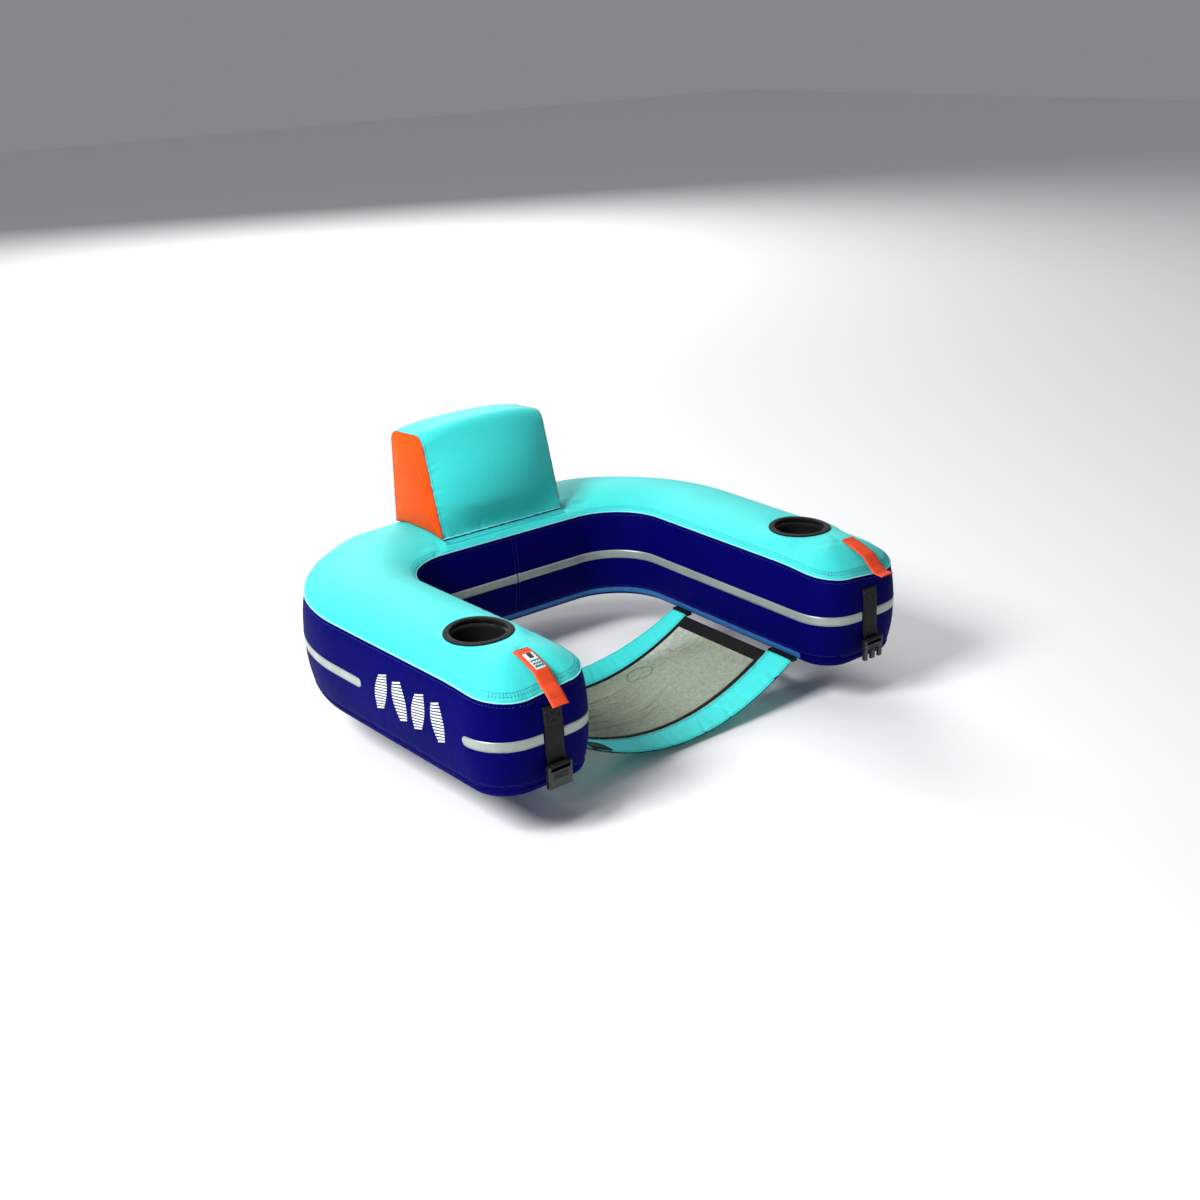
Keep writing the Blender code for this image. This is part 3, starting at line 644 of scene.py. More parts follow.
@dataclass(frozen=True)
class Air:
    """How a sewn cover is blown up."""

    pressure: float = 4.0
    cap: float = 0.005
    frames: int = 20
    tension: float = 25.0
    bending: float = 2.0
    slack: float = 0.0
    gravity: float = 0.0

    def fill(self, points: np.ndarray, faces: list, pinned: np.ndarray) -> np.ndarray:
        """Runs a cloth simulation on welded points and takes over its result.

        Args:
            points: The points at the start.
            faces: Point numbers of each face.
            pinned: Hold of each point, from 0 to 1 (1 stays where it is).

        Returns:
            The points afterwards, none of them moved further than the cap.
        """
        mesh = bpy.data.meshes.new("air")
        mesh.from_pydata([tuple(map(float, p)) for p in points], [], faces)
        obj = bpy.data.objects.new("air", mesh)
        bpy.context.scene.collection.objects.link(obj)
        held = obj.vertex_groups.new(name="held")
        for number, hold in enumerate(pinned):
            held.add([number], float(hold), "REPLACE")
        cloth = obj.modifiers.new("cloth", "CLOTH")
        settings = cloth.settings
        settings.quality = 6
        settings.mass = 0.3
        settings.vertex_group_mass = "held"
        settings.tension_stiffness = settings.compression_stiffness = self.tension
        settings.shear_stiffness = self.tension / 3
        settings.bending_stiffness = self.bending
        settings.use_pressure = self.pressure > 0
        settings.uniform_pressure_force = self.pressure
        settings.shrink_min = -self.slack
        settings.effector_weights.gravity = self.gravity
        cloth.collision_settings.use_collision = False
        cloth.point_cache.frame_start, cloth.point_cache.frame_end = 1, self.frames
        scene = bpy.context.scene
        for number in range(1, self.frames + 1):
            scene.frame_set(number)
        blown = obj.evaluated_get(bpy.context.evaluated_depsgraph_get()).to_mesh()
        after = np.empty(len(points) * 3)
        blown.vertices.foreach_get("co", after)
        bpy.data.objects.remove(obj)
        scene.frame_set(1)
        moved = after.reshape(-1, 3) - points
        far = np.linalg.norm(moved, axis=1, keepdims=True)
        LOG.info("cloth of %d points moved %.1f mm at most", len(points), 1000 * far.max())
        return points + moved * np.minimum(1, self.cap / np.maximum(far, 1e-9))


class Surface:
    """A finished surface that trim is laid on."""

    def __init__(self, *objs: bpy.types.Object) -> None:
        """Reads the meshes as they are now."""
        points, faces = [], []
        for obj in objs:
            faces += [[len(points) + k for k in polygon.vertices] for polygon in obj.data.polygons]
            points += [obj.matrix_world @ vertex.co for vertex in obj.data.vertices]
        self.tree = BVHTree.FromPolygons(points, faces)

    def lay(self, points: np.ndarray, lift: float = 0.0) -> tuple[np.ndarray, np.ndarray]:
        """Puts points on the surface.

        Args:
            points: An array of points near it, of any shape that ends in three.
            lift: How far above the surface they end.

        Returns:
            The points and the surface's normals there.
        """
        places, normals = [], []
        for point in points.reshape(-1, 3):
            place, normal, _, _ = self.tree.find_nearest(Vector(point))
            places.append(place + normal * lift)
            normals.append(normal)
        return np.array(places).reshape(points.shape), np.array(normals).reshape(points.shape)


@dataclass(frozen=True)
class Pucker:
    """Small creases that run in from a seam where the thread draws the cloth together."""

    spacing: float = 0.020
    depth: float = 0.0011
    width: float = 0.0042
    reach: float = 0.022
    seed: int = SEED

    def press(self, obj: bpy.types.Object, seam: np.ndarray, inward: np.ndarray) -> None:
        """Presses the creases into a piece.

        Args:
            obj: The piece.
            seam: Points along the seam.
            inward: Directions from the seam into the piece, one for each point.
        """
        chance = np.random.RandomState(self.seed)
        places, normals = vertices_of(obj), normals_of(obj)
        run = run_of(seam)
        count = max(1, int(run[-1] / self.spacing))
        depth = np.zeros(len(places))
        for k in range(count):
            at = (k + chance.uniform(-0.4, 0.4)) * run[-1] / count
            centre, into = read(seam, run, at), unit(read(inward, run, at))
            along = unit(read(seam, run, at + 0.002) - centre)
            lean = chance.uniform(-0.5, 0.5)
            width = self.width * chance.uniform(0.7, 1.5)
            reach = self.reach * chance.uniform(0.5, 1.4)
            strength = self.depth * chance.uniform(0.2, 1.0)
            away = places - centre
            near = np.abs(away).max(axis=1) < 3 * reach
            away = away[near]
            far_in = away @ into
            off = away @ along - lean * far_in
            fall = np.exp(-(off / width) ** 2) - 0.5 * np.exp(-((np.abs(off) - 2 * width) / width) ** 2)
            depth[near] += strength * fall * np.exp(-(far_in / reach) ** 2) * (far_in > -0.006)
        set_vertices(obj, places - normals * depth[:, None])


@dataclass(frozen=True)
class Crease:
    """One long fold in a slack sheet, from a start to an end, with an S across it."""

    start: tuple[float, float, float]
    end: tuple[float, float, float]
    height: float = 0.0035
    width: float = 0.007
    bow: float = 0.0

    def press(self, obj: bpy.types.Object) -> None:
        """Raises the fold on a piece, along its normals."""
        places, normals = vertices_of(obj), normals_of(obj)
        start, run = np.array(self.start), np.array(self.end) - np.array(self.start)
        length = np.linalg.norm(run[:2])
        along = run[:2] / length
        across = np.array([-along[1], along[0]])
        flat = places[:, :2] - start[:2]
        t = flat @ along / length
        off = flat @ across - self.bow * 4 * t * (1 - t)
        fade = smoothstep(t / 0.15 + 0.5) * smoothstep((1 - t) / 0.4)
        ridge = np.exp(-(off / self.width) ** 2) - 0.6 * np.exp(-((off - 1.6 * self.width) / self.width) ** 2)
        set_vertices(obj, places + normals * (self.height * fade * ridge)[:, None])


# ---- Stitches, cords and bands ------------------------------------------------------------------


@dataclass(frozen=True)
class Stitch:
    """A lockstitch: short threads in a row, sunk at both ends."""

    length: float = 0.0036
    gap: float = 0.0016
    width: float = 0.0007
    height: float = 0.0007

    def row(self, points: np.ndarray, normals: np.ndarray, closed: bool = False) -> tuple[np.ndarray, list]:
        """Makes one row.

        Args:
            points: The line that the row follows, on the surface.
            normals: The surface's normals along it.
            closed: The line returns to its start.

        Returns:
            The row's vertices and faces.
        """
        if closed:
            points = np.concatenate([points, points[:1]])
            normals = np.concatenate([normals, normals[:1]])
        run = run_of(points)
        pitch = self.length + self.gap
        count = max(1, int(run[-1] / pitch))
        places = (np.arange(count) + 0.5) * run[-1] / count
        centre, half = read(points, run, places), self.length / 2
        along = unit(read(points, run, places + half) - read(points, run, places - half))
        side = unit(np.cross(read(normals, run, places), along))
        up = np.cross(along, side)
        ring = ((1, 0), (0, 1), (-1, 0), (0, -0.6))
        sunk = self.height * 0.4
        form = np.array([
            (t * half, w * size * self.width, h * size * self.height - sink)
            for t, size, sink in ((-1, 0.4, sunk), (0, 1.0, 0.0), (1, 0.4, sunk))
            for w, h in ring
        ])
        vertices = (
            centre[:, None] + along[:, None] * form[None, :, :1]
            + side[:, None] * form[None, :, 1:2] + up[:, None] * form[None, :, 2:]
        )
        faces = [(3, 2, 1, 0), (8, 9, 10, 11)]
        for part in (0, 4):
            faces += [(part + k, part + (k + 1) % 4, part + 4 + (k + 1) % 4, part + 4 + k) for k in range(4)]
        every = [[len(form) * n + k for k in face] for n in range(count) for face in faces]
        return vertices.reshape(-1, 3), every


class Stitching:
    """Gathers rows of stitches into one piece."""

    def __init__(self, name: str, finish: str, stitch: Stitch = Stitch()) -> None:
        """Starts an empty piece with its name, thread and stitch."""
        self.name, self.finish, self.stitch = name, finish, stitch
        self.points: list[np.ndarray] = []
        self.faces: list[list[int]] = []

    def add(self, points: np.ndarray, normals: np.ndarray, closed: bool = False) -> None:
        """Adds a row along points, with the surface's normals."""
        vertices, faces = self.stitch.row(points, normals, closed)
        start = sum(map(len, self.points))
        self.points.append(vertices)
        self.faces += [[start + k for k in face] for face in faces]

    def follow(self, surface: Surface, points: np.ndarray, closed: bool = False,
               lift: float = 0.0003) -> None:
        """Adds a row along points laid on a surface."""
        self.add(*surface.lay(points, lift), closed)

    def made(self) -> bpy.types.Object:
        """Makes the piece."""
        return mesh_object(self.name, np.concatenate(self.points), self.faces, self.finish)

    def finish_on(self, body: str) -> None:
        """Makes the piece and lets it ride on a body."""
        mounted(self.made(), body)


def welt(name: str, points: np.ndarray, normals: np.ndarray, radius: float, finish: str,
         closed: bool = False, sides: int = 8) -> bpy.types.Object:
    """Makes a round cord along a seam.

    Args:
        name: The object's name.
        points: The cord's centreline.
        normals: Directions away from the surface, along it.
        radius: The cord's radius.
        finish: A name in FINISHES.
        closed: The centreline returns to its start.
        sides: Sides of the cord's section.

    Returns:
        The new object.
    """
    if closed:
        step = np.roll(points, -1, axis=0) - np.roll(points, 1, axis=0)
    else:
        step = np.gradient(points, axis=0)
    along = unit(step)
    side = unit(np.cross(along, normals))
    up = np.cross(side, along)
    rows = []
    for k in range(sides + 1):
        angle = math.tau * k / sides
        rows.append(points + radius * (math.cos(angle) * side + math.sin(angle) * up))
    obj = sheet_object(name, np.array(rows), finish, closed)
    if not closed:
        close_ends(obj)
    return obj


def close_ends(obj: bpy.types.Object) -> None:
    """Fills the open ends of a tube."""
    take(obj)
    bpy.ops.object.mode_set(mode="EDIT")
    bpy.ops.mesh.select_mode(type="EDGE")
    bpy.ops.mesh.select_all(action="DESELECT")
    bpy.ops.mesh.select_non_manifold()
    bpy.ops.mesh.edge_face_add()
    bpy.ops.mesh.select_all(action="SELECT")
    bpy.ops.mesh.normals_make_consistent(inside=False)
    bpy.ops.object.mode_set(mode="OBJECT")
    obj.select_set(False)


def mounted(obj: bpy.types.Object, body: str, slot: str | None = None, *nodes: str) -> bpy.types.Object:
    """Lets a piece ride on a body and hides the CAD nodes it stands for."""
    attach(obj, body)
    if nodes:
        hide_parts(*nodes)
    LOG.info("%s: %d faces on %s", obj.name, len(obj.data.polygons), body)
    return obj


# ---- Tube ---------------------------------------------------------------------------------------


@dataclass(frozen=True)
class TubePlan:
    """Seam lines and heights of the tube; they are those of the CAD cover."""

    half_width: float = 0.500
    half_gap: float = 0.287
    tip_y: float = -0.740
    back_outer_y: float = 0.119
    back_inner_y: float = -0.122
    outer_radius: float = 0.390
    inner_radius: float = 0.125
    tip_radius: float = 0.066
    toe_in: float = 0.022
    toe_full_x: float = 0.400
    crown_z: float = 0.226
    crown_power: float = 2.6
    seam_z: float = 0.1805
    inner_seam_rise: float = 0.008
    tip_drop: float = 0.012
    tip_drop_length: float = 0.150
    rest_press: float = 0.015
    rest_half: float = 0.165
    rest_fade: float = 0.120
    skirt: float = 0.004
    wall_foot_z: float = 0.0165
    back_steps: int = 10
    corner_steps: int = 34
    arm_steps: int = 40
    tip_steps: int = 8
    front_steps: int = 4

    @property
    def arm_centre(self) -> float:
        """Middle of an arm, before it leans."""
        return (self.half_width + self.half_gap) / 2

    @property
    def arm_half(self) -> float:
        """Half of an arm's width."""
        return (self.half_width - self.half_gap) / 2

    @property
    def rung_end(self) -> int:
        """Number of the outline point where the tip's straight front starts."""
        return self.back_steps + self.corner_steps + self.arm_steps + self.tip_steps

    @property
    def half_count(self) -> int:
        """Number of the outline point in the middle of the outer back."""
        return 2 * (self.rung_end + self.front_steps)

    def half(self, offset: float) -> np.ndarray:
        """Right half of the outline, from the middle of the inner back round the tip to the outer back.

        Args:
            offset: Distance inside the seam; negative is outside.

        Returns:
            Points as x, y and how far they belong to the inner seam (1 inner, 0 outer).
        """
        inner = self.half_gap - self.inner_radius, self.back_inner_y - self.inner_radius
        outer = self.half_width - self.outer_radius, self.back_outer_y - self.outer_radius
        radius = max(self.tip_radius, offset + self.skirt)
        tip_y, front = self.tip_y + radius, self.tip_y + offset
        tip_in, tip_out = self.half_gap + radius, self.half_width - radius
        back_in, back_out = self.back_inner_y + offset, self.back_outer_y - offset
        side_in, side_out = self.half_gap + offset, self.half_width - offset
        plan = np.concatenate([
            line((0, back_in), (inner[0], back_in), self.back_steps),
            arc(inner, self.inner_radius + offset, 90, 0, self.corner_steps),
            line((side_in, inner[1]), (side_in, tip_y), self.arm_steps),
            arc((tip_in, tip_y), radius - offset, 180, 270, self.tip_steps),
            line((tip_in, front), (self.arm_centre, front), self.front_steps),
            line((self.arm_centre, front), (tip_out, front), self.front_steps),
            arc((tip_out, tip_y), radius - offset, 270, 360, self.tip_steps),
            line((side_out, tip_y), (side_out, outer[1]), self.arm_steps),
            arc(outer, self.outer_radius - offset, 0, 90, self.corner_steps),
            line((outer[0], back_out), (0, back_out), self.back_steps),
            [(0, back_out)],
        ])
        number = np.arange(len(plan))
        belongs = np.clip((self.half_count - self.rung_end - number) / (2 * self.front_steps), 0, 1)
        return np.column_stack([plan, belongs])

    def ring(self, offset: float) -> np.ndarray:
        """The whole outline at a distance inside the seam, once round."""
        half = self.half(offset)
        left = half[::-1][1:-1] * (-1, 1, 1)
        return np.concatenate([half, left])

    def toe(self, x: np.ndarray, y: np.ndarray) -> np.ndarray:
        """X after the arms lean towards each other."""
        share = np.clip((self.back_inner_y - y) / (self.back_inner_y - self.tip_y), 0, 1)
        return x - np.sign(x) * self.toe_in * share * np.clip(np.abs(x) / self.toe_full_x, 0, 1)

    def seam(self, ring: np.ndarray) -> np.ndarray:
        """Height of the top seam at outline points."""
        drop = np.clip(1 - (ring[..., 1] - self.tip_y) / self.tip_drop_length, 0, 1) ** 2
        return self.seam_z + self.inner_seam_rise * ring[..., 2] - self.tip_drop * drop

    def crown(self, ring: np.ndarray, offset: np.ndarray, fullness: float = 1.0) -> np.ndarray:
        """Height of the top cover.

        Args:
            ring: Points as x, y and belonging.
            offset: Their distance inside the seam.
            fullness: Share of the crown's height above its seam.

        Returns:
            The heights; the backrest presses the crown down a little.
        """
        rise = 1 - (1 - np.clip(offset / self.arm_half, 0, 1)) ** self.crown_power
        pressed = smoothstep(1 - (np.abs(ring[..., 0]) - self.rest_half) / self.rest_fade)
        seam = self.seam(ring) + self.skirt
        full = 1 - (1 - fullness) * (1 - pressed)
        return seam + (self.crown_z - self.rest_press * pressed - seam) * rise * full

    def placed(self, ring: np.ndarray, height: np.ndarray | float) -> np.ndarray:
        """Points in the row frame from outline points and their heights."""
        x, y = ring[..., 0], ring[..., 1]
        return np.stack([self.toe(x, y), y, np.broadcast_to(height, x.shape)], -1)

    def cup_centre(self, side: int) -> tuple[float, float]:
        """Middle of a cup holder."""
        low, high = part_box("cup_pocket_left" if side < 0 else "cup_pocket_right")
        return (low.x + high.x) / 2, (low.y + high.y) / 2


@dataclass
class TubeCover:
    """The tube's cover: turquoise top, navy walls and underside, blown up as one sewn bag."""

    plan: TubePlan
    bulge: float = 0.0095
    fullness: float = 0.96
    wall_levels: int = 12
    top_offsets: tuple[float, ...] = (0.0004, 0.004, 0.009, 0.016, 0.026, 0.038, 0.052, 0.066, 0.080)
    under: tuple[tuple[float, float], ...] = (
        (0.080, 0.0), (0.060, 0.0), (0.035, 0.0), (0.018, 0.0), (0.009, 0.001), (0.003, 0.005), (0.0, 0.012),
    )
    thickness: float = 0.0018
    bladder_gap: float = 0.0032
    tip_rear_y: float = -0.600
    tip_rounds: int = 16
    cup_cut: float = 0.0535
    cup_ring: float = 0.056
    cup_level: float = 0.058
    cup_fade: float = 0.030
    cup_hold: float = 0.75
    rest_folds: tuple[tuple[float, float], ...] = ((0.075, 0.2), (0.060, 0.75), (0.050, -0.3))
    tab_folds: tuple[tuple[float, float], ...] = ((0.055, 0.5), (0.045, -0.4), (0.050, 1.2))
    stitch_insets: tuple[float, float] = (0.0045, 0.0085)
    tacked: int = 9
    air: Air = Air(pressure=5.0, cap=0.0045)

    def rungs(self, top: bool) -> np.ndarray:
        """Grid across the right half's middle, from the inner ring to the outer one.

        Args:
            top: The crown; otherwise the flat underside.

        Returns:
            Points, across by along by three.
        """
        plan, last = self.plan, self.plan.rung_end
        edge = self.top_offsets[-1]
        half = plan.half(edge)
        inner, outer = half[:last + 1], half[plan.half_count - last:][::-1]
        steps = 2 * plan.front_steps
        rows = []
        for k in range(steps + 1):
            share = k / steps
            row = inner * (1 - share) + outer * share
            gap = np.linalg.norm(outer[:, :2] - inner[:, :2], axis=1)
            offset = edge + (gap / 2) * (1 - abs(2 * share - 1)) * smoothstep((row[:, 1] + 0.66) / 0.04)
            row[:, 2] = 1 - share
            rows.append(plan.placed(row, plan.crown(row, offset, self.fullness) if top else 0.0))
        return np.array(rows)

    def grids(self) -> tuple[Sewing, dict[str, np.ndarray]]:
        """Welds the whole bag.

        Returns:
            The sewn bag, and its point numbers by part.
        """
        plan, cloth = self.plan, Sewing()
        under = [plan.placed(plan.ring(offset), z) for offset, z in self.under]
        walls = []
        for k in range(self.wall_levels + 1):
            share = k / self.wall_levels
            out = self.bulge * (1 - abs(2 * share - 1) ** 2.6)
            ring = plan.ring(-out)
            walls.append(plan.placed(ring, plan.wall_foot_z + share * (plan.seam(ring) - plan.wall_foot_z)))
        top = [walls[-1]]
        for offset in self.top_offsets:
            ring = plan.ring(offset)
            top.append(plan.placed(ring, plan.crown(ring, np.array(offset), self.fullness)))
        ids = {"under": cloth.weld(np.array(under + walls[:1])), "walls": cloth.weld(np.array(walls)),
               "top": cloth.weld(np.array(top))}
        around = run_of(np.concatenate([walls[-1], walls[-1][:1]]))
        count = len(around) - 1
        outer = np.arange(plan.half_count // 2, count - plan.half_count // 2 + 1)
        right, left = np.arange(outer[0] + 1), np.arange(outer[-1], count + 1)
        low = np.arange(len(under) + 1) * 0.012
        high = np.array([0.0, 0.004, *np.array(self.top_offsets[1:]) + 0.004])
        rise = np.linspace(0, plan.seam_z, self.wall_levels + 1)
        for name, columns in (("outer", outer), ("right", right), ("left", left)):
            cloth.sew(name, ids["walls"][:, columns % count], around[columns], rise)
        loop = np.arange(count + 1)
        cloth.sew("under", ids["under"][:, loop % count], around, low)
        cloth.sew("top", ids["top"][:, loop % count], around, high)
        for panel in ("top", "under"):
            middle = self.rungs(panel == "top")
            across = (high if panel == "top" else low)[-1] + np.arange(len(middle)) * 0.009
            mirror = middle[:, ::-1] * (-1, 1, 1)
            for grid in (middle, mirror):
                number = cloth.weld(grid)
                ids[panel + "_middle"] = number
                if panel == "under":
                    number = number[::-1]
                cloth.sew(panel, number, around[:number.shape[1]], across)
        return cloth, ids

    def build(self) -> None:
        """Blows the bag up, cuts it into its panels and finishes each."""
        cloth, ids = self.grids()
        points = np.array(cloth.points)
        pinned = np.zeros(len(points))
        pinned[ids["under"].ravel()] = 1
        pinned[ids["walls"][:2].ravel()] = 1
        pinned[ids["top"][:2].ravel()] = 1
        pinned[points[:, 2] < 0.001] = 1
        below_rest = (np.abs(points[:, 0]) < 0.160) & (points[:, 1] > self.plan.back_inner_y + 0.01)
        pinned[below_rest & (points[:, 2] > self.plan.seam_z + 0.01)] = 1
        faces = [corners for panel in cloth.panels.values() for corners, _ in panel]
        tips = (points[:, 1] < self.tip_rear_y) & (points[:, 2] > self.plan.seam_z - 0.006) & (pinned < 1)
        points = self.clear_of_bladder(relaxed(points, faces, tips, self.tip_rounds), faces, tips)
        points = self.air.fill(points, faces, pinned)

        self.top = refine(cloth.piece("cover_top", "top", points, "turquoise"))
        self.outer = refine(cloth.piece("cover_outer_wall", "outer", points, "navy"))
        self.right = refine(cloth.piece("cover_inner_wall_right", "right", points, "navy"))
        self.left = refine(cloth.piece("cover_inner_wall_left", "left", points, "navy"))
        self.under = cloth.piece("cover_underside", "under", points, "navy")
        self.crease()
        self.level_cups()
        self.top_surface = Surface(self.top)
        self.walls = Surface(self.outer, self.right, self.left)
        self.open_cups()
        pieces = {
            self.top: "top_panel", self.outer: "outer_wall", self.right: "inner_wall_right",
            self.left: "inner_wall_left", self.under: "bottom_panel",
        }
        for piece, node in pieces.items():
            thicken(piece, self.thickness)
            mounted(piece, "float", "turquoise_neoprene" if piece is self.top else "navy_polyester", node)
        self.seams()

    def clear_of_bladder(self, points: np.ndarray, faces: list, free: np.ndarray) -> np.ndarray:
        """Lifts free points smoothly wherever they would touch the bladder below them."""
        bladder = Surface(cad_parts["tube_bladder"])
        short = np.zeros((len(points), 1))
        for number in np.flatnonzero(free):
            above = Vector((points[number, 0], points[number, 1], 2 * self.plan.crown_z))
            place = bladder.tree.ray_cast(above, Vector((0.0, 0.0, -1.0)))[0]
            if place:
                short[number] = max(0.0, place.z + self.bladder_gap - points[number, 2])
        spread = relaxed(np.repeat(short, 3, axis=1), faces, free, 6)[:, 0]
        LOG.info("lifted %d points by %.1f mm at most", (short > 0).sum(), short.max() / MM)
        lifted = points.copy()
        lifted[:, 2] += np.maximum(short[:, 0], spread)
        return lifted

    def seam_line(self, inside: float = 0.0, lift: float = 0.0) -> np.ndarray:
        """The top seam once round, moved inside it and up."""
        ring = self.plan.ring(inside)
        height = self.plan.crown(ring, np.array(inside)) if inside > 0 else self.plan.seam(ring)
        return self.plan.placed(ring, height + lift)

    def crease(self) -> None:
        """Presses puckers in along the seams and the dimples round the tabs and the backrest."""
        seam, inside = self.seam_line(), self.seam_line(0.02)
        inward = inside - seam
        loop = np.concatenate([seam, seam[:1]]), np.concatenate([inward, inward[:1]])
        Pucker(spacing=0.024, depth=0.0008, reach=0.020, width=0.0050).press(self.top, *loop)
        down = np.tile((0.0, 0.0, -1.0), (len(seam), 1))
        foot = self.plan.placed(self.plan.ring(0.0), self.plan.wall_foot_z)
        half = self.plan.half_count // 2
        count = len(seam)
        parts = {self.outer: np.arange(half, count - half + 1), self.right: np.arange(half + 1),
                 self.left: np.arange(count - half, count)}
        for k, (wall, columns) in enumerate(parts.items()):
            Pucker(spacing=0.030, depth=0.0008, reach=0.026, width=0.0060, seed=SEED + k).press(
                wall, seam[columns], down[columns])
            Pucker(spacing=0.026, depth=0.0010, reach=0.028, width=0.0060, seed=SEED + 7 + k).press(
                wall, foot[columns], -down[columns])
        # Pulled cloth beside the backrest's front corners and behind the pull tabs.
        for side in (-1, 1):
            corner = (side * 0.150, -0.088, 0.205)
            for reach, turn in self.rest_folds:
                end = (corner[0] + side * reach * math.cos(turn), corner[1] - reach * math.sin(turn), 0.21)
                Crease(corner, end, height=-0.0022, width=0.007, bow=0.004).press(self.top)
            x = side * self.plan.toe(np.array([self.plan.arm_centre]), np.array([-0.69]))[0]
            for reach, turn in self.tab_folds:
                end = (x - side * reach * math.sin(turn), -0.668 + reach * math.cos(turn), 0.22)
                Crease((x, -0.672, 0.22), end, height=-0.0010, width=0.006, bow=0.003).press(self.top)

    def level_cups(self) -> None:
        """Draws the top level round each cup holder, as its binding does."""
        places, surface = vertices_of(self.top), Surface(self.top)
        angle = np.linspace(0, math.tau, 32, endpoint=False)
        even = np.ones(len(angle))
        for side in (-1, 1):
            centre = np.array(self.plan.cup_centre(side))
            x, y = centre[0] + self.cup_ring * np.cos(angle), centre[1] + self.cup_ring * np.sin(angle)
            rim, _ = surface.lay(np.column_stack([x, y, self.plan.crown_z * even]))
            fitted = np.linalg.lstsq(np.column_stack([rim[:, :2] - centre, even]), rim[:, 2], rcond=None)[0]
            away = places[:, :2] - centre
            level = away @ fitted[:2] + fitted[2]
            near = 1 - smoothstep((np.linalg.norm(away, axis=1) - self.cup_level) / self.cup_fade)
            high = places[:, 2] > self.plan.seam_z + 0.008
            places[:, 2] += (level - places[:, 2]) * near * high * self.cup_hold
        set_vertices(self.top, places)

    def open_cups(self) -> None:
        """Cuts the top out over the cup pockets; their binding covers the cut."""
        centres = [Vector(self.plan.cup_centre(side)) for side in (-1, 1)]
        work = bmesh.new()
        work.from_mesh(self.top.data)
        cut = [face for face in work.faces
               if any((face.calc_center_median().xy - centre).length < self.cup_cut for centre in centres)]
        bmesh.ops.delete(work, geom=cut, context="FACES")
        work.to_mesh(self.top.data)
        work.free()
        LOG.info("cut %d faces out of the top for the cups", len(cut))

    def seams(self) -> None:
        """Sews the panels: a welt and double rows round the top, single rows on the walls."""
        seam = self.seam_line(-0.0006, 0.0006)
        outward = unit(seam - self.seam_line(0.012, -0.012))
        mounted(welt("top_seam_welt", seam, outward, 0.0013, "pale_thread", closed=True), "float",
                "turquoise_neoprene")
        rows = Stitching("top_stitching", "turquoise_thread")
        for inside in self.stitch_insets:
            rows.follow(self.top_surface, self.seam_line(inside), closed=True)
        rows.finish_on("float")
        lower = Stitching("wall_stitching", "navy_thread", Stitch(0.0042, 0.0020))
        ring = self.plan.ring(-0.004)
        for height in (self.plan.seam(ring) - 0.006, np.full(len(ring), self.plan.wall_foot_z + 0.008)):
            lower.follow(self.walls, self.plan.placed(ring, height), closed=True)
        back = np.stack([np.zeros(30), np.full(30, self.plan.back_inner_y - 0.01),
                         np.linspace(self.plan.wall_foot_z + 0.004, self.plan.seam_z + 0.003, 30)], -1)
        for side in (-1, 1):
            lower.follow(self.walls, back + (side * 0.004, 0, 0))
        lower.finish_on("float")
        mounted(self.back_seam(back), "float", "navy_polyester")
        self.ladders()

    def back_seam(self, back: np.ndarray) -> bpy.types.Object:
        """The upright seam in the middle of the inner back, where the two walls meet."""
        places, normals = self.walls.lay(back, -0.0004)
        return welt("inner_back_seam", places, normals, 0.0011, "navy")

    def ladders(self) -> None:
        """Bar tacks across the top seam round the front of each tip."""
        tacks = Stitching("bar_tacks", "grey_thread", Stitch(0.0030, 0.0008, 0.0006, 0.0005))
        inner, outer = self.seam_line(0.0022), self.seam_line(0.0105)
        half = self.plan.half_count // 2
        front = range(half - self.tacked, half + self.tacked + 1)
        for k in (*front, *(len(inner) - k for k in front)):
            for share in (0.0, 0.5):
                ends = [edge[k] * (1 - share) + edge[(k + 1) % len(edge)] * share for edge in (inner, outer)]
                tacks.follow(self.top_surface, resampled(np.array(ends), 5))
        tacks.finish_on("float")


# ---- Trim on the tube ---------------------------------------------------------------------------


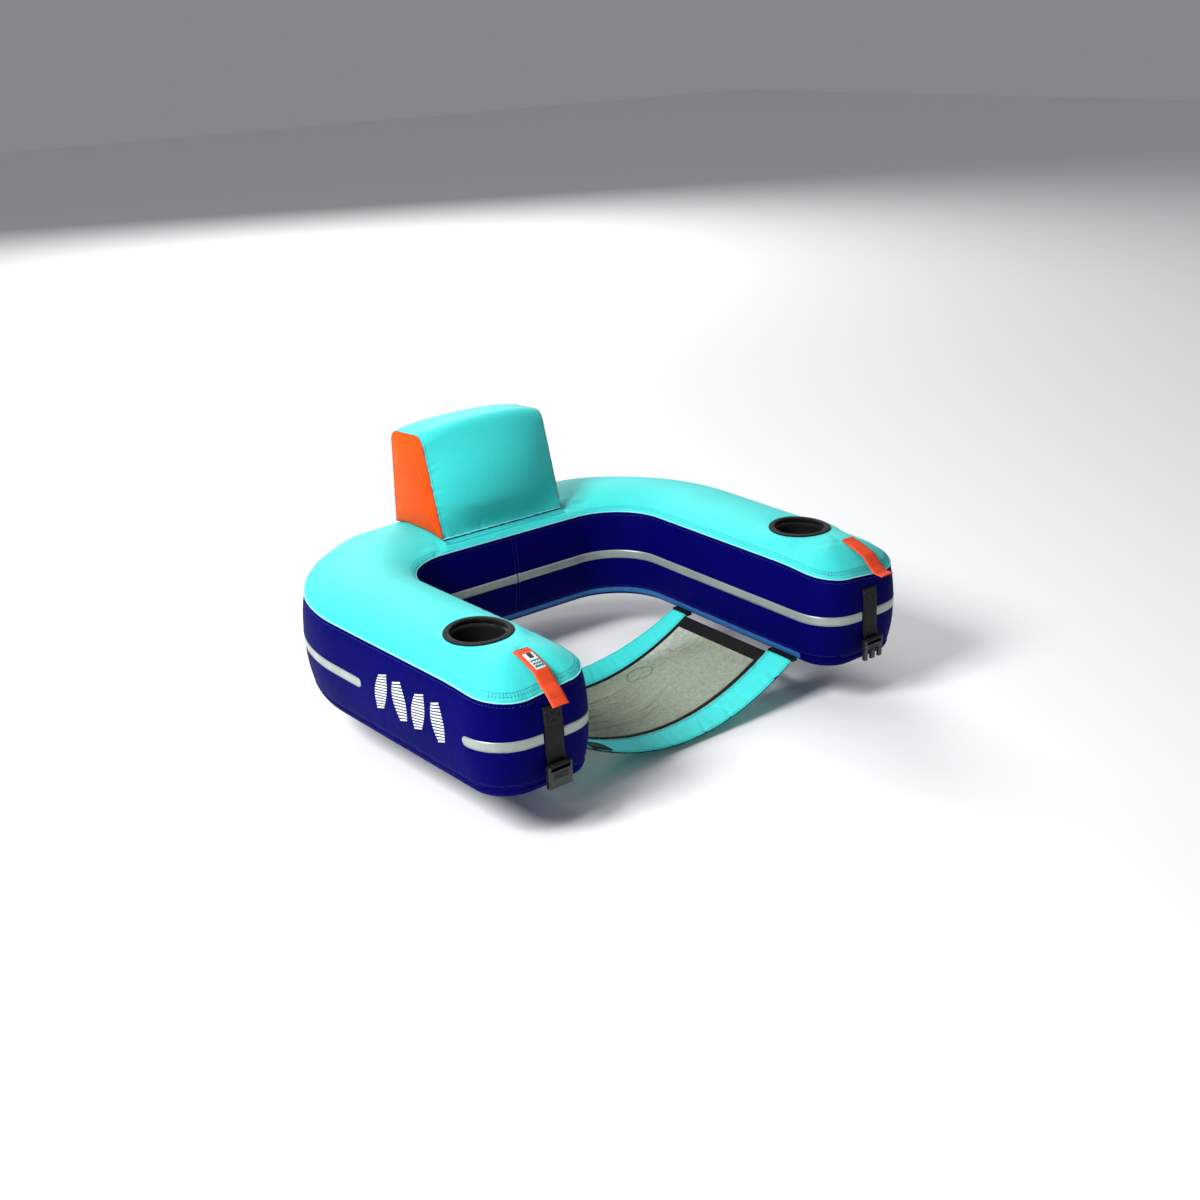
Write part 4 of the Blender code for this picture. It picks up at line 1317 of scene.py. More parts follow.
@dataclass
class WallTrim:
    """What is sewn or printed on the walls: reflective tape, the printed motif and the zip."""

    tube: TubeCover
    tape_low: float = 0.089
    tape_high: float = 0.107
    tape_thickness: float = 0.0005
    tape_back_end_y: float = -0.364
    tape_tip_end_y: float = -0.665
    motif_back_y: float = -0.400
    motif_pitch: float = 0.056
    motif_foot: float = 0.070
    motif_height: float = 0.070
    motif_lines: int = 13
    motif_ink: float = 0.62
    motif_forms: tuple[tuple[float, float], ...] = (
        (0.036, 0.016), (0.040, -0.014), (0.038, 0.012), (0.036, -0.012),
    )
    tooth_pitch: float = 0.0026

    def ribbon(self, name: str, ids: np.ndarray, finish: str, low: float, high: float, thickness: float,
               lift: float = 0.0003, rows: int = 4, rounded: tuple[bool, bool] = (False, False),
               trim: tuple[float, float] = (0.0, 0.0)) -> bpy.types.Object:
        """Lays a band on the walls.

        Args:
            name: The piece's name.
            ids: Fractional outline numbers that the band runs along.
            finish: A name in FINISHES.
            low: Height of its lower edge.
            high: Height of its upper edge.
            thickness: How thick it is.
            lift: Its distance off the wall.
            rows: Faces across its height.
            rounded: Whether its first and last end are round.
            trim: Length taken off each end.

        Returns:
            The piece.
        """
        ring = self.tube.plan.ring(-0.012)
        ring = np.concatenate([ring, ring])
        base = self.tube.plan.placed(read(ring, np.arange(len(ring)), ids), 0.0)
        run = run_of(base)
        half, length = (high - low) / 2, run[-1] - sum(trim)
        bend = half * np.array([0.04, 0.15, 0.35, 0.65])
        even = np.linspace(0, length, max(8, int(length / 0.006)))
        away = np.sort(np.concatenate([even, bend, length - bend]))
        half_height = np.full(len(away), half)
        for distance, is_round in ((away, rounded[0]), (length - away, rounded[1])):
            if is_round:
                short = np.clip(1 - distance / half, 0, 1)
                half_height *= np.sqrt(np.clip(1 - short ** 2, 0.02, 1))
        middle = read(base, run, trim[0] + away)
        grid = []
        for share in np.linspace(-1, 1, rows + 1):
            row = middle.copy()
            row[:, 2] = (low + high) / 2 + share * half_height
            grid.append(row)
        laid, _ = self.tube.walls.lay(np.array(grid), lift)
        return thicken(sheet_object(name, laid, finish), thickness, outward=True)

    def build(self) -> None:
        """Makes the tape, the motif and the zip."""
        self.reflective_tape()
        self.motif()
        self.zip_coil()

    def reflective_tape(self) -> None:
        """Five lengths of tape at mid height, with round ends towards the motif."""
        plan = self.tube.plan
        count, half = len(plan.ring(0.0)), plan.half_count // 2
        outer_front = half + plan.front_steps + plan.tip_steps
        arm = plan.arm_steps
        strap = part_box("tip_strap_right")
        gap = (strap[1].x - strap[0].x) / 2 + 0.002

        def outer_number(y: float) -> float:
            """Outline number on the right arm's outer side at a y."""
            start, end = plan.tip_y + plan.tip_radius, plan.back_outer_y - plan.outer_radius
            return outer_front + arm * (y - start) / (end - start)

        back, tip = outer_number(self.tape_back_end_y), outer_number(self.tape_tip_end_y)
        lines = {
            "stripe_back": (back, count - back, (True, True), (0, 0)),
            "stripe_tip_right": (half, tip, (False, True), (gap, 0)),
            "stripe_tip_left": (count - tip, count - half, (True, False), (0, gap)),
            "stripe_inner_right": (0, half, (False, False), (0.001, gap)),
            "stripe_inner_left": (count - half, count, (False, False), (gap, 0.001)),
        }
        for node, (start, end, rounded, trim) in lines.items():
            ids = np.linspace(start, end, int((end - start) * 3))
            band = self.ribbon("tape_" + node.removeprefix("stripe_"), ids, "tape", self.tape_low,
                               self.tape_high, self.tape_thickness, rounded=rounded, trim=trim)
            mounted(band, "float", "reflective_tape", node)
        bar = np.array([[(x, plan.back_inner_y - 0.011, z) for x in np.linspace(0, 0.0035, 3)]
                        for z in np.linspace(self.tape_low - 0.001, self.tape_high + 0.001, 5)])
        for start, label in ((-0.0065, "left"), (0.0030, "right")):
            laid, _ = self.tube.walls.lay(bar + (start, 0, 0), 0.0009)
            mounted(thicken(sheet_object("tape_end_" + label, laid, "tape"), 0.0006, outward=True), "float",
                    "reflective_tape")

    def motif(self) -> None:
        """A generic motif on each outer wall: four slanted shapes cut into fine lines."""
        for side, label in ((-1, "left"), (1, "right")):
            points, faces = [], []
            for k, (width, skew) in enumerate(self.motif_forms):
                start = self.motif_back_y - (k + 0.5) * self.motif_pitch
                for stripe in range(self.motif_lines):
                    laid = self.motif_line(side, start, width, skew, stripe)
                    first, columns = len(points), laid.shape[1]
                    points += list(laid.reshape(-1, 3))
                    for c in range(first, first + columns - 1):
                        face = [c, c + 1, c + columns + 1, c + columns]
                        faces.append(face if side > 0 else face[::-1])
            uv = [(points[k][1], points[k][2]) for face in faces for k in face]
            made = mesh_object("printed_motif_" + label, np.array(points), faces, "print", uv)
            self.face_outward(made, side)
            mounted(thicken(made, 0.0002, outward=True), "float", "reflective_tape")

    def motif_line(self, side: int, start: float, width: float, skew: float, stripe: int) -> np.ndarray:
        """Lays one printed line on the wall.

        Args:
            side: -1 for the left wall, 1 for the right one.
            start: The shape's middle along y.
            width: Its width at mid height.
            skew: How far its top leans back.
            stripe: The line's number, from the bottom.

        Returns:
            The line's two edges, as rows of points.
        """
        plan, rows = self.tube.plan, []
        for share in (stripe / self.motif_lines, (stripe + self.motif_ink) / self.motif_lines):
            row = []
            for across in np.linspace(0, 1, 9):
                tilt = share + 0.10 * (across - 0.5)
                bow = math.sin(math.pi * min(1, max(0, tilt)))
                span = width * (0.55 + 0.45 * bow)
                y = start - skew * (tilt - 0.5) - (across - 0.5) * span
                row.append((side * (plan.half_width + 0.012), y, self.motif_foot + self.motif_height * tilt))
            rows.append(row)
        grid = np.array(rows)
        grid[..., 0] = plan.toe(grid[..., 0], grid[..., 1])
        return self.tube.walls.lay(grid, 0.00025)[0]

    @staticmethod
    def face_outward(obj: bpy.types.Object, side: int) -> None:
        """Turns a print's faces away from the tube if they look inwards."""
        total = sum(polygon.normal.x * polygon.area for polygon in obj.data.polygons)
        if total * side < 0:
            obj.data.flip_normals()

    def zip_coil(self) -> None:
        """A nylon coil along the zip's tape at the inner bottom edge, and the seam above it."""
        plan = self.tube.plan
        low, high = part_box("zipper_teeth")
        end = plan.back_steps + plan.corner_steps + plan.arm_steps - 1
        half = plan.placed(plan.half(-0.0016)[:end], (low.z + high.z) / 2)
        whole = np.concatenate([half[::-1][:-1] * (-1, 1, 1), half])
        path = resampled(whole, int(run_of(whole)[-1] / self.tooth_pitch))
        away = unit(np.cross(np.gradient(path, axis=0), (0, 0, 1.0)))
        coil = Stitching("zip_coil", "blue_coil", Stitch(length=0.0058, gap=0.0, width=0.0010, height=0.0010))
        for place, normal in zip(path, away):
            coil.add(np.array([place - (0, 0, 0.0029), place + (0, 0, 0.0029)]), np.array([normal, normal]))
        mounted(coil.made(), "float", "blue_zip", "zipper_teeth")
        rows = Stitching("zip_stitching", "navy_thread", Stitch(0.0030, 0.0018, 0.0004, 0.0004))
        rows.follow(self.tube.walls, whole + (0, 0, 0.0075))
        rows.finish_on("float")


@dataclass
class CupHolder:
    """A soft pocket with a stitched binding round its mouth."""

    tube: TubeCover
    side: int
    rim_inner: float = 0.0485
    rim_outer: float = 0.0605
    pocket_top: float = 0.2145
    pocket_radius: float = 0.0475
    pocket_levels: int = 18
    hem_radius: float = 0.0425
    steps: int = 96

    def build(self) -> None:
        """Makes the pocket, the binding and its stitches."""
        label = "left" if self.side < 0 else "right"
        x, y = self.tube.plan.cup_centre(self.side)
        angle = np.linspace(0, math.tau, self.steps, endpoint=False)
        around = np.stack([np.cos(angle), np.sin(angle)], -1)

        def ring(radius: float, lift: float) -> np.ndarray:
            """Ring of points on the top's surface."""
            near_top = np.full(self.steps, self.tube.plan.crown_z - 0.001)
            flat = np.column_stack([around * radius + (x, y), near_top])
            laid, _ = self.tube.top_surface.lay(flat)
            laid[:, :2] = flat[:, :2]
            laid[:, 2] += lift
            return laid

        middle, half = (self.rim_inner + self.rim_outer) / 2, (self.rim_outer - self.rim_inner) / 2
        section = [(middle + half * math.cos(a), 0.0003 + 0.0024 * math.sin(a) ** 0.8)
                   for a in np.linspace(0, math.pi, 9)]
        section.append((self.rim_inner, -0.006))
        rings = np.array([ring(radius, lift) for radius, lift in section])
        binding = sheet_object("cup_binding_" + label, rings, "black_foam", closed=True)
        thicken(binding, 0.0010)
        mounted(binding, "float", "black_neoprene", "cup_rim_" + label)
        rows = Stitching("cup_stitching_" + label, "grey_thread", Stitch(0.0034, 0.0014, 0.0006, 0.0006))
        surface = Surface(binding)
        for radius in (self.rim_outer - 0.0022, self.rim_inner + 0.0030):
            rows.follow(surface, ring(radius, 0.004), closed=True)
        rows.finish_on("float")
        self.pocket(label, x, y, around)

    def pocket(self, label: str, x: float, y: float, around: np.ndarray) -> None:
        """Makes the pocket's wall and floor, a little loose so that it falls in shallow folds."""
        chance = np.random.RandomState(SEED + self.side)
        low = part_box("cup_pocket_" + label)[0].z + 0.002
        angle = np.arctan2(around[:, 1], around[:, 0])
        folds = sum(chance.uniform(0.3, 1) * np.sin(n * angle + chance.uniform(0, 6)) for n in (3, 5, 8, 13))
        rows = []
        heights = np.linspace(self.pocket_top, low + 0.006, self.pocket_levels)
        for k, z in enumerate(heights):
            share = k / (len(heights) - 1)
            loose = 0.0006 * math.sin(math.pi * share)
            radius = self.pocket_radius - loose * (1.5 + 0.8 * folds * math.cos(2.5 * share))
            rows.append(np.column_stack([around * radius[:, None] + (x, y), np.full(self.steps, z)]))
        for radius, z in ((0.0455, low + 0.002), (0.040, low), (0.025, low + 0.0004), (0.010, low + 0.0002),
                          (0.0001, low)):
            rows.append(np.column_stack([around * radius + (x, y), np.full(self.steps, z)]))
        wall = sheet_object("cup_lining_" + label, np.array(rows)[::-1], "black_foam", closed=True)
        thicken(wall, 0.0012)
        mounted(wall, "float", "black_neoprene", "cup_pocket_" + label)
        hem = Stitching("cup_floor_stitching_" + label, "grey_thread", Stitch(0.0034, 0.0014, 0.0006, 0.0006))
        floor = np.column_stack([around * self.hem_radius + (x, y), np.full(self.steps, low + 0.0012)])
        hem.add(floor, np.tile((0.0, 0.0, 1.0), (self.steps, 1)), closed=True)
        hem.finish_on("float")


@dataclass
class Webbing:
    """Straps on the tips: pull tabs on top and buckle straps down the fronts."""

    tube: TubeCover
    columns: int = 8
    lift: float = 0.0010
    above: float = 0.24
    tab_over: tuple[tuple[float, float], ...] = ((-0.744, 0.1855), (-0.757, 0.1770))
    right_tab_end_z: float = 0.176
    strap_foot_z: float = 0.072
    bar_y: float = -0.760
    bar_z: float = 0.050
    loop_radius: float = 0.0052

    def strap(self, name: str, x: float, half: float, spine: np.ndarray, finish: str, thickness: float,
              count: int = 60, edge: float = 0.0004) -> tuple[bpy.types.Object, np.ndarray]:
        """Makes a flat strap along a spine of (y, z) points, its edges a little lower than its middle.

        Args:
            name: The piece's name.
            x: Middle of the strap.
            half: Half of its width.
            spine: The strap's lower side, running forward.
            finish: A name in FINISHES.
            thickness: How thick it is.
            count: Points along it.
            edge: How much lower its edges are.

        Returns:
            The piece, and the smoothed spine.
        """
        smooth = resampled(spine, count, smooth=True)
        step = unit(np.gradient(smooth, axis=0))
        out = np.stack([step[:, 1], -step[:, 0]], -1)
        grid = []
        for share in np.linspace(1, -1, self.columns + 1):
            low = smooth - out * edge * share ** 4
            grid.append(at_x(x + share * half, low))
        grid = np.array(grid).transpose(1, 0, 2)
        made = thicken(sheet_object(name, grid, finish), thickness, outward=True)
        return made, smooth

    def top_line(self, x: float, ys: np.ndarray, lift: float) -> np.ndarray:
        """Line of (y, z) points on the top cover."""
        points = np.column_stack([np.full(len(ys), x), ys, np.full(len(ys), 0.23)])
        laid, _ = self.tube.top_surface.lay(points, 0.0)
        return np.column_stack([ys, laid[:, 2] + lift])

    def box_stitch(self, name: str, obj: bpy.types.Object, corners: list, thread: str, body: str) -> None:
        """Sews a box with a cross in it onto a strap.

        Args:
            name: The piece's name.
            obj: The strap.
            corners: Four points round the box, near the strap.
            thread: A name in FINISHES.
            body: The body it rides on.
        """
        surface = Surface(obj)
        rows = Stitching(name, thread, Stitch(0.0024, 0.0010, 0.0005, 0.0005))
        corners = [np.array(corner, float) for corner in corners]
        for a, b in ((0, 1), (1, 2), (2, 3), (3, 0), (0, 2), (1, 3)):
            rows.follow(surface, resampled(np.array([corners[a], corners[b]]), 12))
        rows.finish_on(body)

    def pull_tab(self, side: int) -> None:
        """One pull tab with its sewn end patch."""
        label = "left" if side < 0 else "right"
        low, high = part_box("tab_" + label)
        x, half = (low.x + high.x) / 2, (high.x - low.x) / 2
        sewn_y, patch_y = high.y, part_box("tab_anchor_" + label)[1].y
        patch = self.top_line(x, np.linspace(patch_y, sewn_y + 0.0008, 8), self.lift)
        anchor, _ = self.strap("tab_patch_" + label, x, half, patch, "orange_webbing", 0.0014, 14)
        mounted(anchor, "float", "orange_webbing", "tab_anchor_" + label)
        inset = half - 0.003
        rear, front = patch_y - 0.002, sewn_y + 0.003
        corners = [(x - inset, rear, self.above), (x + inset, rear, self.above),
                   (x + inset, front, self.above), (x - inset, front, self.above)]
        self.box_stitch("tab_box_stitch_" + label, anchor, corners, "red_thread", "float")

        end_z = low.z if side < 0 else self.right_tab_end_z
        on_top = self.top_line(x, np.linspace(sewn_y, -0.727, 10), self.lift)
        spine = np.concatenate([on_top, self.tab_over, [(low.y + 0.0005, end_z)]])
        upper, smooth = self.strap("pull_tab_" + label, x, half, spine, "orange_webbing", 0.0020, 90, 0.0008)
        body = f"tab_{label}_body"
        mounted(upper, body, "orange_webbing", "tab_" + label)
        # The fold at the free end is caught by two rows across the strap.
        surface = Surface(upper)
        rows = Stitching("tab_end_stitching_" + label, "red_thread", Stitch(0.0026, 0.0012, 0.0005, 0.0005))
        for number in (72, 76):
            y, z = smooth[number]
            rows.follow(surface, np.array([(x + s * (half - 0.002), y - 0.003, z + 0.003)
                                           for s in np.linspace(-1, 1, 12)]))
        rows.finish_on(body)
        if side < 0:
            self.label(surface)

    def label(self, surface: Surface) -> None:
        """The woven label on the left tab, with a generic horizon and waves."""
        low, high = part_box("tab_label")
        middle, half = (low.x + high.x) / 2, (high.x - low.x) / 2

        def patch(name: str, xs: tuple[float, float], ys: tuple[float, float], finish: str,
                  lift: float, wave: float = 0.0) -> bpy.types.Object:
            """Makes one woven area of the label."""
            across, along = np.linspace(xs[1], xs[0], 13), np.linspace(ys[1], ys[0], 13)
            grid = np.array([[(x, y + wave * math.sin(x * 900), self.above) for x in across] for y in along])
            laid, _ = surface.lay(grid, lift)
            return thicken(sheet_object(name, laid, finish), 0.0004, outward=True)

        end = low.y - 0.013
        ground = patch("woven_label", (low.x, high.x), (end, high.y), "label", 0.0002)
        mounted(ground, "tab_left_body", "woven_label", "tab_label")
        inner = half - 0.0025
        bar = (middle - inner * 0.45, middle + inner * 0.45), (high.y - 0.019, high.y - 0.004)
        mounted(patch("label_bar", *bar, "label_black", 0.0007), "tab_left_body", "woven_label")
        for k in range(3):
            y = high.y - 0.025 - 0.0075 * k
            wave = patch(f"label_wave_{k}", (middle - inner, middle + inner), (y - 0.0042, y), "label_ink",
                         0.0007, 0.0010)
            mounted(wave, "tab_left_body", "woven_label")

    def tip_strap(self, side: int) -> None:
        """Webbing sewn down the front of a tip and looped round its buckle's bar."""
        label = "left" if side < 0 else "right"
        low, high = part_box("tip_strap_" + label)
        x, half = (low.x + high.x) / 2, (high.x - low.x) / 2
        heights = np.linspace(high.z, self.strap_foot_z, 14)
        face = np.column_stack([np.full(14, x), np.full(14, -0.755), heights])
        laid, _ = self.tube.walls.lay(face, 0.0)
        down = np.column_stack([laid[:, 1] - self.lift, heights])
        loop = arc((self.bar_y, self.bar_z), self.loop_radius, 35, -245, 24, last=True)
        smooth = np.concatenate([resampled(down, 30, smooth=True), loop])
        grid = np.array([[(x + share * half, y, z) for share in np.linspace(1, -1, self.columns + 1)]
                         for y, z in smooth])
        made = thicken(sheet_object("buckle_strap_" + label, grid, "black_webbing"), 0.0012, outward=True)
        mounted(made, "float", "black_webbing", "tip_strap_" + label)
        inset = half - 0.003
        front, top, foot = self.bar_y - 0.010, high.z - 0.004, high.z - 0.030
        corners = [(x - inset, front, top), (x + inset, front, top), (x + inset, front, foot),
                   (x - inset, front, foot)]
        self.box_stitch("strap_box_stitch_" + label, made, corners, "grey_thread", "float")

    def build(self) -> None:
        """Makes both tips' straps."""
        for side in (-1, 1):
            self.pull_tab(side)
            self.tip_strap(side)


# ---- Backrest -----------------------------------------------------------------------------------


@dataclass
class Backrest:
    """The blown-up backrest: turquoise wrap, orange gussets, a hidden base and the flange it folds on."""

    tube: TubeCover
    half: float = 0.1465
    front_foot_y: float = -0.095
    rear_foot_y: float = 0.083
    front_top: tuple[float, float] = (-0.045, 0.406)
    rear_top: tuple[float, float] = (0.074, 0.402)
    corner: float = 0.024
    middle: tuple[float, float] = (0.0, 0.300)
    swell: float = 0.012
    front_swell: float = 0.027
    swell_foot_z: float = 0.215
    swell_rise: float = 0.06
    pin_z: float = 0.2275
    gusset_dome: tuple[tuple[float, float], ...] = (
        (1.0, 0.0), (0.93, 0.0025), (0.82, 0.005), (0.66, 0.007), (0.48, 0.008), (0.3, 0.009),
        (0.12, 0.0095), (0.0, 0.0095),
    )
    stations: int = 30
    front_steps: int = 20
    air: Air = Air(pressure=7.0, cap=0.006)

    def foot_z(self, y: float) -> float:
        """Height of the tube's top under the backrest."""
        plan = self.tube.plan
        inside = min(y - plan.back_inner_y, plan.back_outer_y - y)
        inner = float(y - plan.back_inner_y < plan.back_outer_y - y)
        return float(plan.crown(np.array([[0.0, y, inner]]), np.array([inside]))[0]) + 0.003

    def outline(self) -> np.ndarray:
        """Side outline over the top, from the front foot to the rear foot, as (y, z)."""
        front, rear = ((y, self.foot_z(y)) for y in (self.front_foot_y, self.rear_foot_y))
        r = self.corner
        first = arc((self.front_top[0] + r, self.front_top[1] - r), r, 166, 90, 8)
        last = arc((self.rear_top[0] - r, self.rear_top[1] - r), r, 90, 0, 8)
        over = line((self.front_top[0] + r, self.front_top[1]), last[0], 9)
        down = line((self.rear_top[0], self.rear_top[1] - r), rear, 19)
        return np.concatenate([line(front, first[0], self.front_steps), first, over, last, down, [rear]])

    def base(self) -> np.ndarray:
        """Arched base line, from the rear foot to the front foot."""
        ys = np.linspace(self.rear_foot_y, self.front_foot_y, 15)
        return np.array([(y, self.foot_z(y) - 0.0018) for y in ys])

    def swollen(self, outline: np.ndarray, u: float) -> np.ndarray:
        """Outline at a station across, pushed out where air fills it."""
        away = unit(outline - self.middle)
        high = np.clip((outline[:, 1] - self.swell_foot_z) / self.swell_rise, 0, 1)
        front = np.clip(-away[:, 0], 0, 1) * self.front_swell
        push = (self.swell * (1 - abs(u) ** 3.5) + front * (1 - abs(u) ** 2.0)) * high
        return outline + away * push[:, None]

    def build(self) -> None:
        """Sews the bag, blows it up and finishes its panels, seams and flange."""
        outline, cloth = self.outline(), Sewing()
        # Closer together near the gussets, where the wrap curves most.
        quarter = math.pi / 2 * 0.96
        stations = np.sin(np.linspace(1, -1, self.stations + 1) * quarter) / math.sin(quarter)
        rows = np.array([at_x(u * self.half, self.swollen(outline, u)) for u in stations])
        base = self.base()
        base[0], base[-1] = outline[-1], outline[0]
        floor = np.array([at_x(u * self.half, base) for u in stations])
        run = run_of(outline)
        wrap = cloth.weld(rows)
        cloth.sew("wrap", wrap, run, (1 - stations) * self.half)
        cloth.sew("base", cloth.weld(floor), run_of(base), (1 - stations) * self.half)
        closed = np.concatenate([outline, base[1:-1]])
        for side in (1, -1):
            loop = closed[::-1] if side > 0 else closed
            loop = np.concatenate([loop, loop[:1]])
            sheets = [at_x(side * (self.half + out), self.middle + (loop - self.middle) * scale)
                      for scale, out in self.gusset_dome]
            name = "gusset_right" if side > 0 else "gusset_left"
            cloth.sew(name, cloth.weld(np.array(sheets)), run_of(loop), np.linspace(0, 0.1, len(sheets)))
        points = np.array(cloth.points)
        pinned = np.zeros(len(points))
        pinned[wrap[[0, -1]].ravel()] = 1
        pinned[wrap[:, [0, 1, -2, -1]].ravel()] = 1
        pinned[points[:, 2] < self.pin_z] = 1
        faces = [corners for panel in cloth.panels.values() for corners, _ in panel]
        points = self.air.fill(points, faces, pinned)

        body = "backrest"
        self.wrap = refine(cloth.piece("backrest_cover", "wrap", points, "turquoise"), 2)
        gussets = {side: refine(cloth.piece("backrest_gusset_" + side, "gusset_" + side, points, "orange"))
                   for side in ("left", "right")}
        base = refine(cloth.piece("backrest_underside", "base", points, "navy"))
        self.crease(outline, gussets)
        cover = Surface(self.wrap)
        for piece, slot, node in (
            (self.wrap, "turquoise_neoprene", "backrest_wrap"),
            (gussets["left"], "orange_polyester", "backrest_side_left"),
            (gussets["right"], "orange_polyester", "backrest_side_right"),
            (base, "navy_polyester", "backrest_base"),
        ):
            if piece is not base:
                self.stitch(piece, outline)
            thicken(piece, 0.0014)
            mounted(piece, body, slot, node)
        self.welts(outline, cover)
        self.flange()

    def crease(self, outline: np.ndarray, gussets: dict[str, bpy.types.Object]) -> None:
        """Presses puckers in along the gusset seams and the front foot."""
        for side, x in (("left", -self.half), ("right", self.half)):
            seam = at_x(x, outline)
            toward = np.tile((-math.copysign(1.0, x), 0.0, 0.0), (len(seam), 1))
            Pucker(0.015, 0.0010, 0.0042, 0.026, SEED + 20).press(self.wrap, seam, toward)
            inward = unit(np.array([0.0, *self.middle]) - seam * (0, 1, 1))
            Pucker(0.012, 0.0009, 0.0034, 0.014, SEED + 30).press(gussets[side], seam, inward)
        foot = np.array([(x, *outline[0]) for x in np.linspace(-self.half, self.half, 40)])
        rising = np.tile((0, 0.1, 1.0), (len(foot), 1))
        Pucker(0.016, 0.0010, 0.0050, 0.024, SEED + 40).press(self.wrap, foot, rising)

    def stitch(self, piece: bpy.types.Object, outline: np.ndarray) -> None:
        """Sews rows beside the gusset seams; the gussets get short ladder stitches along their front."""
        surface, turquoise = Surface(piece), piece is self.wrap
        thread = "turquoise_thread" if turquoise else "red_thread"
        rows = Stitching(piece.name.replace("backrest_", "") + "_stitching", thread, Stitch(0.0030, 0.0016))
        inside = self.middle + (outline - self.middle) * 0.955
        for x in (-1, 1):
            if turquoise:
                rows.follow(surface, at_x(x * (self.half - 0.005), outline))
            elif piece.name.endswith("right" if x > 0 else "left"):
                rows.follow(surface, at_x(x * self.half, inside))
                for y, z in resampled(outline[:self.front_steps], 22)[4:]:
                    start = (x * (self.half + 0.002), y + 0.004, z)
                    end = (x * (self.half + 0.003), y + 0.010, z)
                    rows.follow(surface, resampled(np.array([start, end]), 4))
        rows.finish_on("backrest")

    def welts(self, outline: np.ndarray, cover: Surface) -> None:
        """Dark cords in the gusset seams and a pale one along the front foot."""
        for side, x in (("left", -1), ("right", 1)):
            path = resampled(at_x(x * self.half, outline), 150)
            normals = unit(path - np.array([x * self.half * 0.7, *self.middle]))
            seam = welt("gusset_seam_" + side, path - normals * 0.0004, normals, 0.0009, "red_thread")
            mounted(seam, "backrest", "orange_polyester")
        y, z = outline[0]
        xs = np.linspace(-self.half + 0.001, self.half - 0.001, 60)
        places, normals = cover.lay(np.array([(x, y - 0.001, z + 0.003) for x in xs]), 0.0004)
        foot = welt("front_foot_welt", places, normals, 0.0013, "pale_thread")
        mounted(foot, "backrest", "turquoise_neoprene")

    def flange(self) -> None:
        """The sewn strip in front of the backrest, in three tucked folds with their stitch rows."""
        low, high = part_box("backrest_flange")
        xs = np.linspace(low.x, high.x, 60)
        ys = np.linspace(high.y, low.y, 13)
        flat = np.array([[(x, y, 0.23) for x in xs[::-1]] for y in ys])
        laid, _ = self.tube.top_surface.lay(flat, 0.0006)
        share = np.linspace(0, 1, len(ys))[:, None]
        laid[..., 2] += 0.0011 * np.abs(np.sin(3 * math.pi * share)) + 0.0002 * np.sin(xs[::-1] * 260)
        strip = refine(sheet_object("backrest_fold_strip", laid, "turquoise"))
        surface = Surface(strip)
        thicken(strip, 0.0010)
        mounted(strip, "float", "turquoise_neoprene", "backrest_flange")
        rows = Stitching("fold_strip_stitching", "turquoise_thread")
        for part in (0.04, 0.34, 0.66, 0.95):
            y = high.y + (low.y - high.y) * part
            rows.follow(surface, np.column_stack([xs, np.full(60, y), np.full(60, 0.225)]))
        rows.finish_on("float")


# ---- Seat ---------------------------------------------------------------------------------------


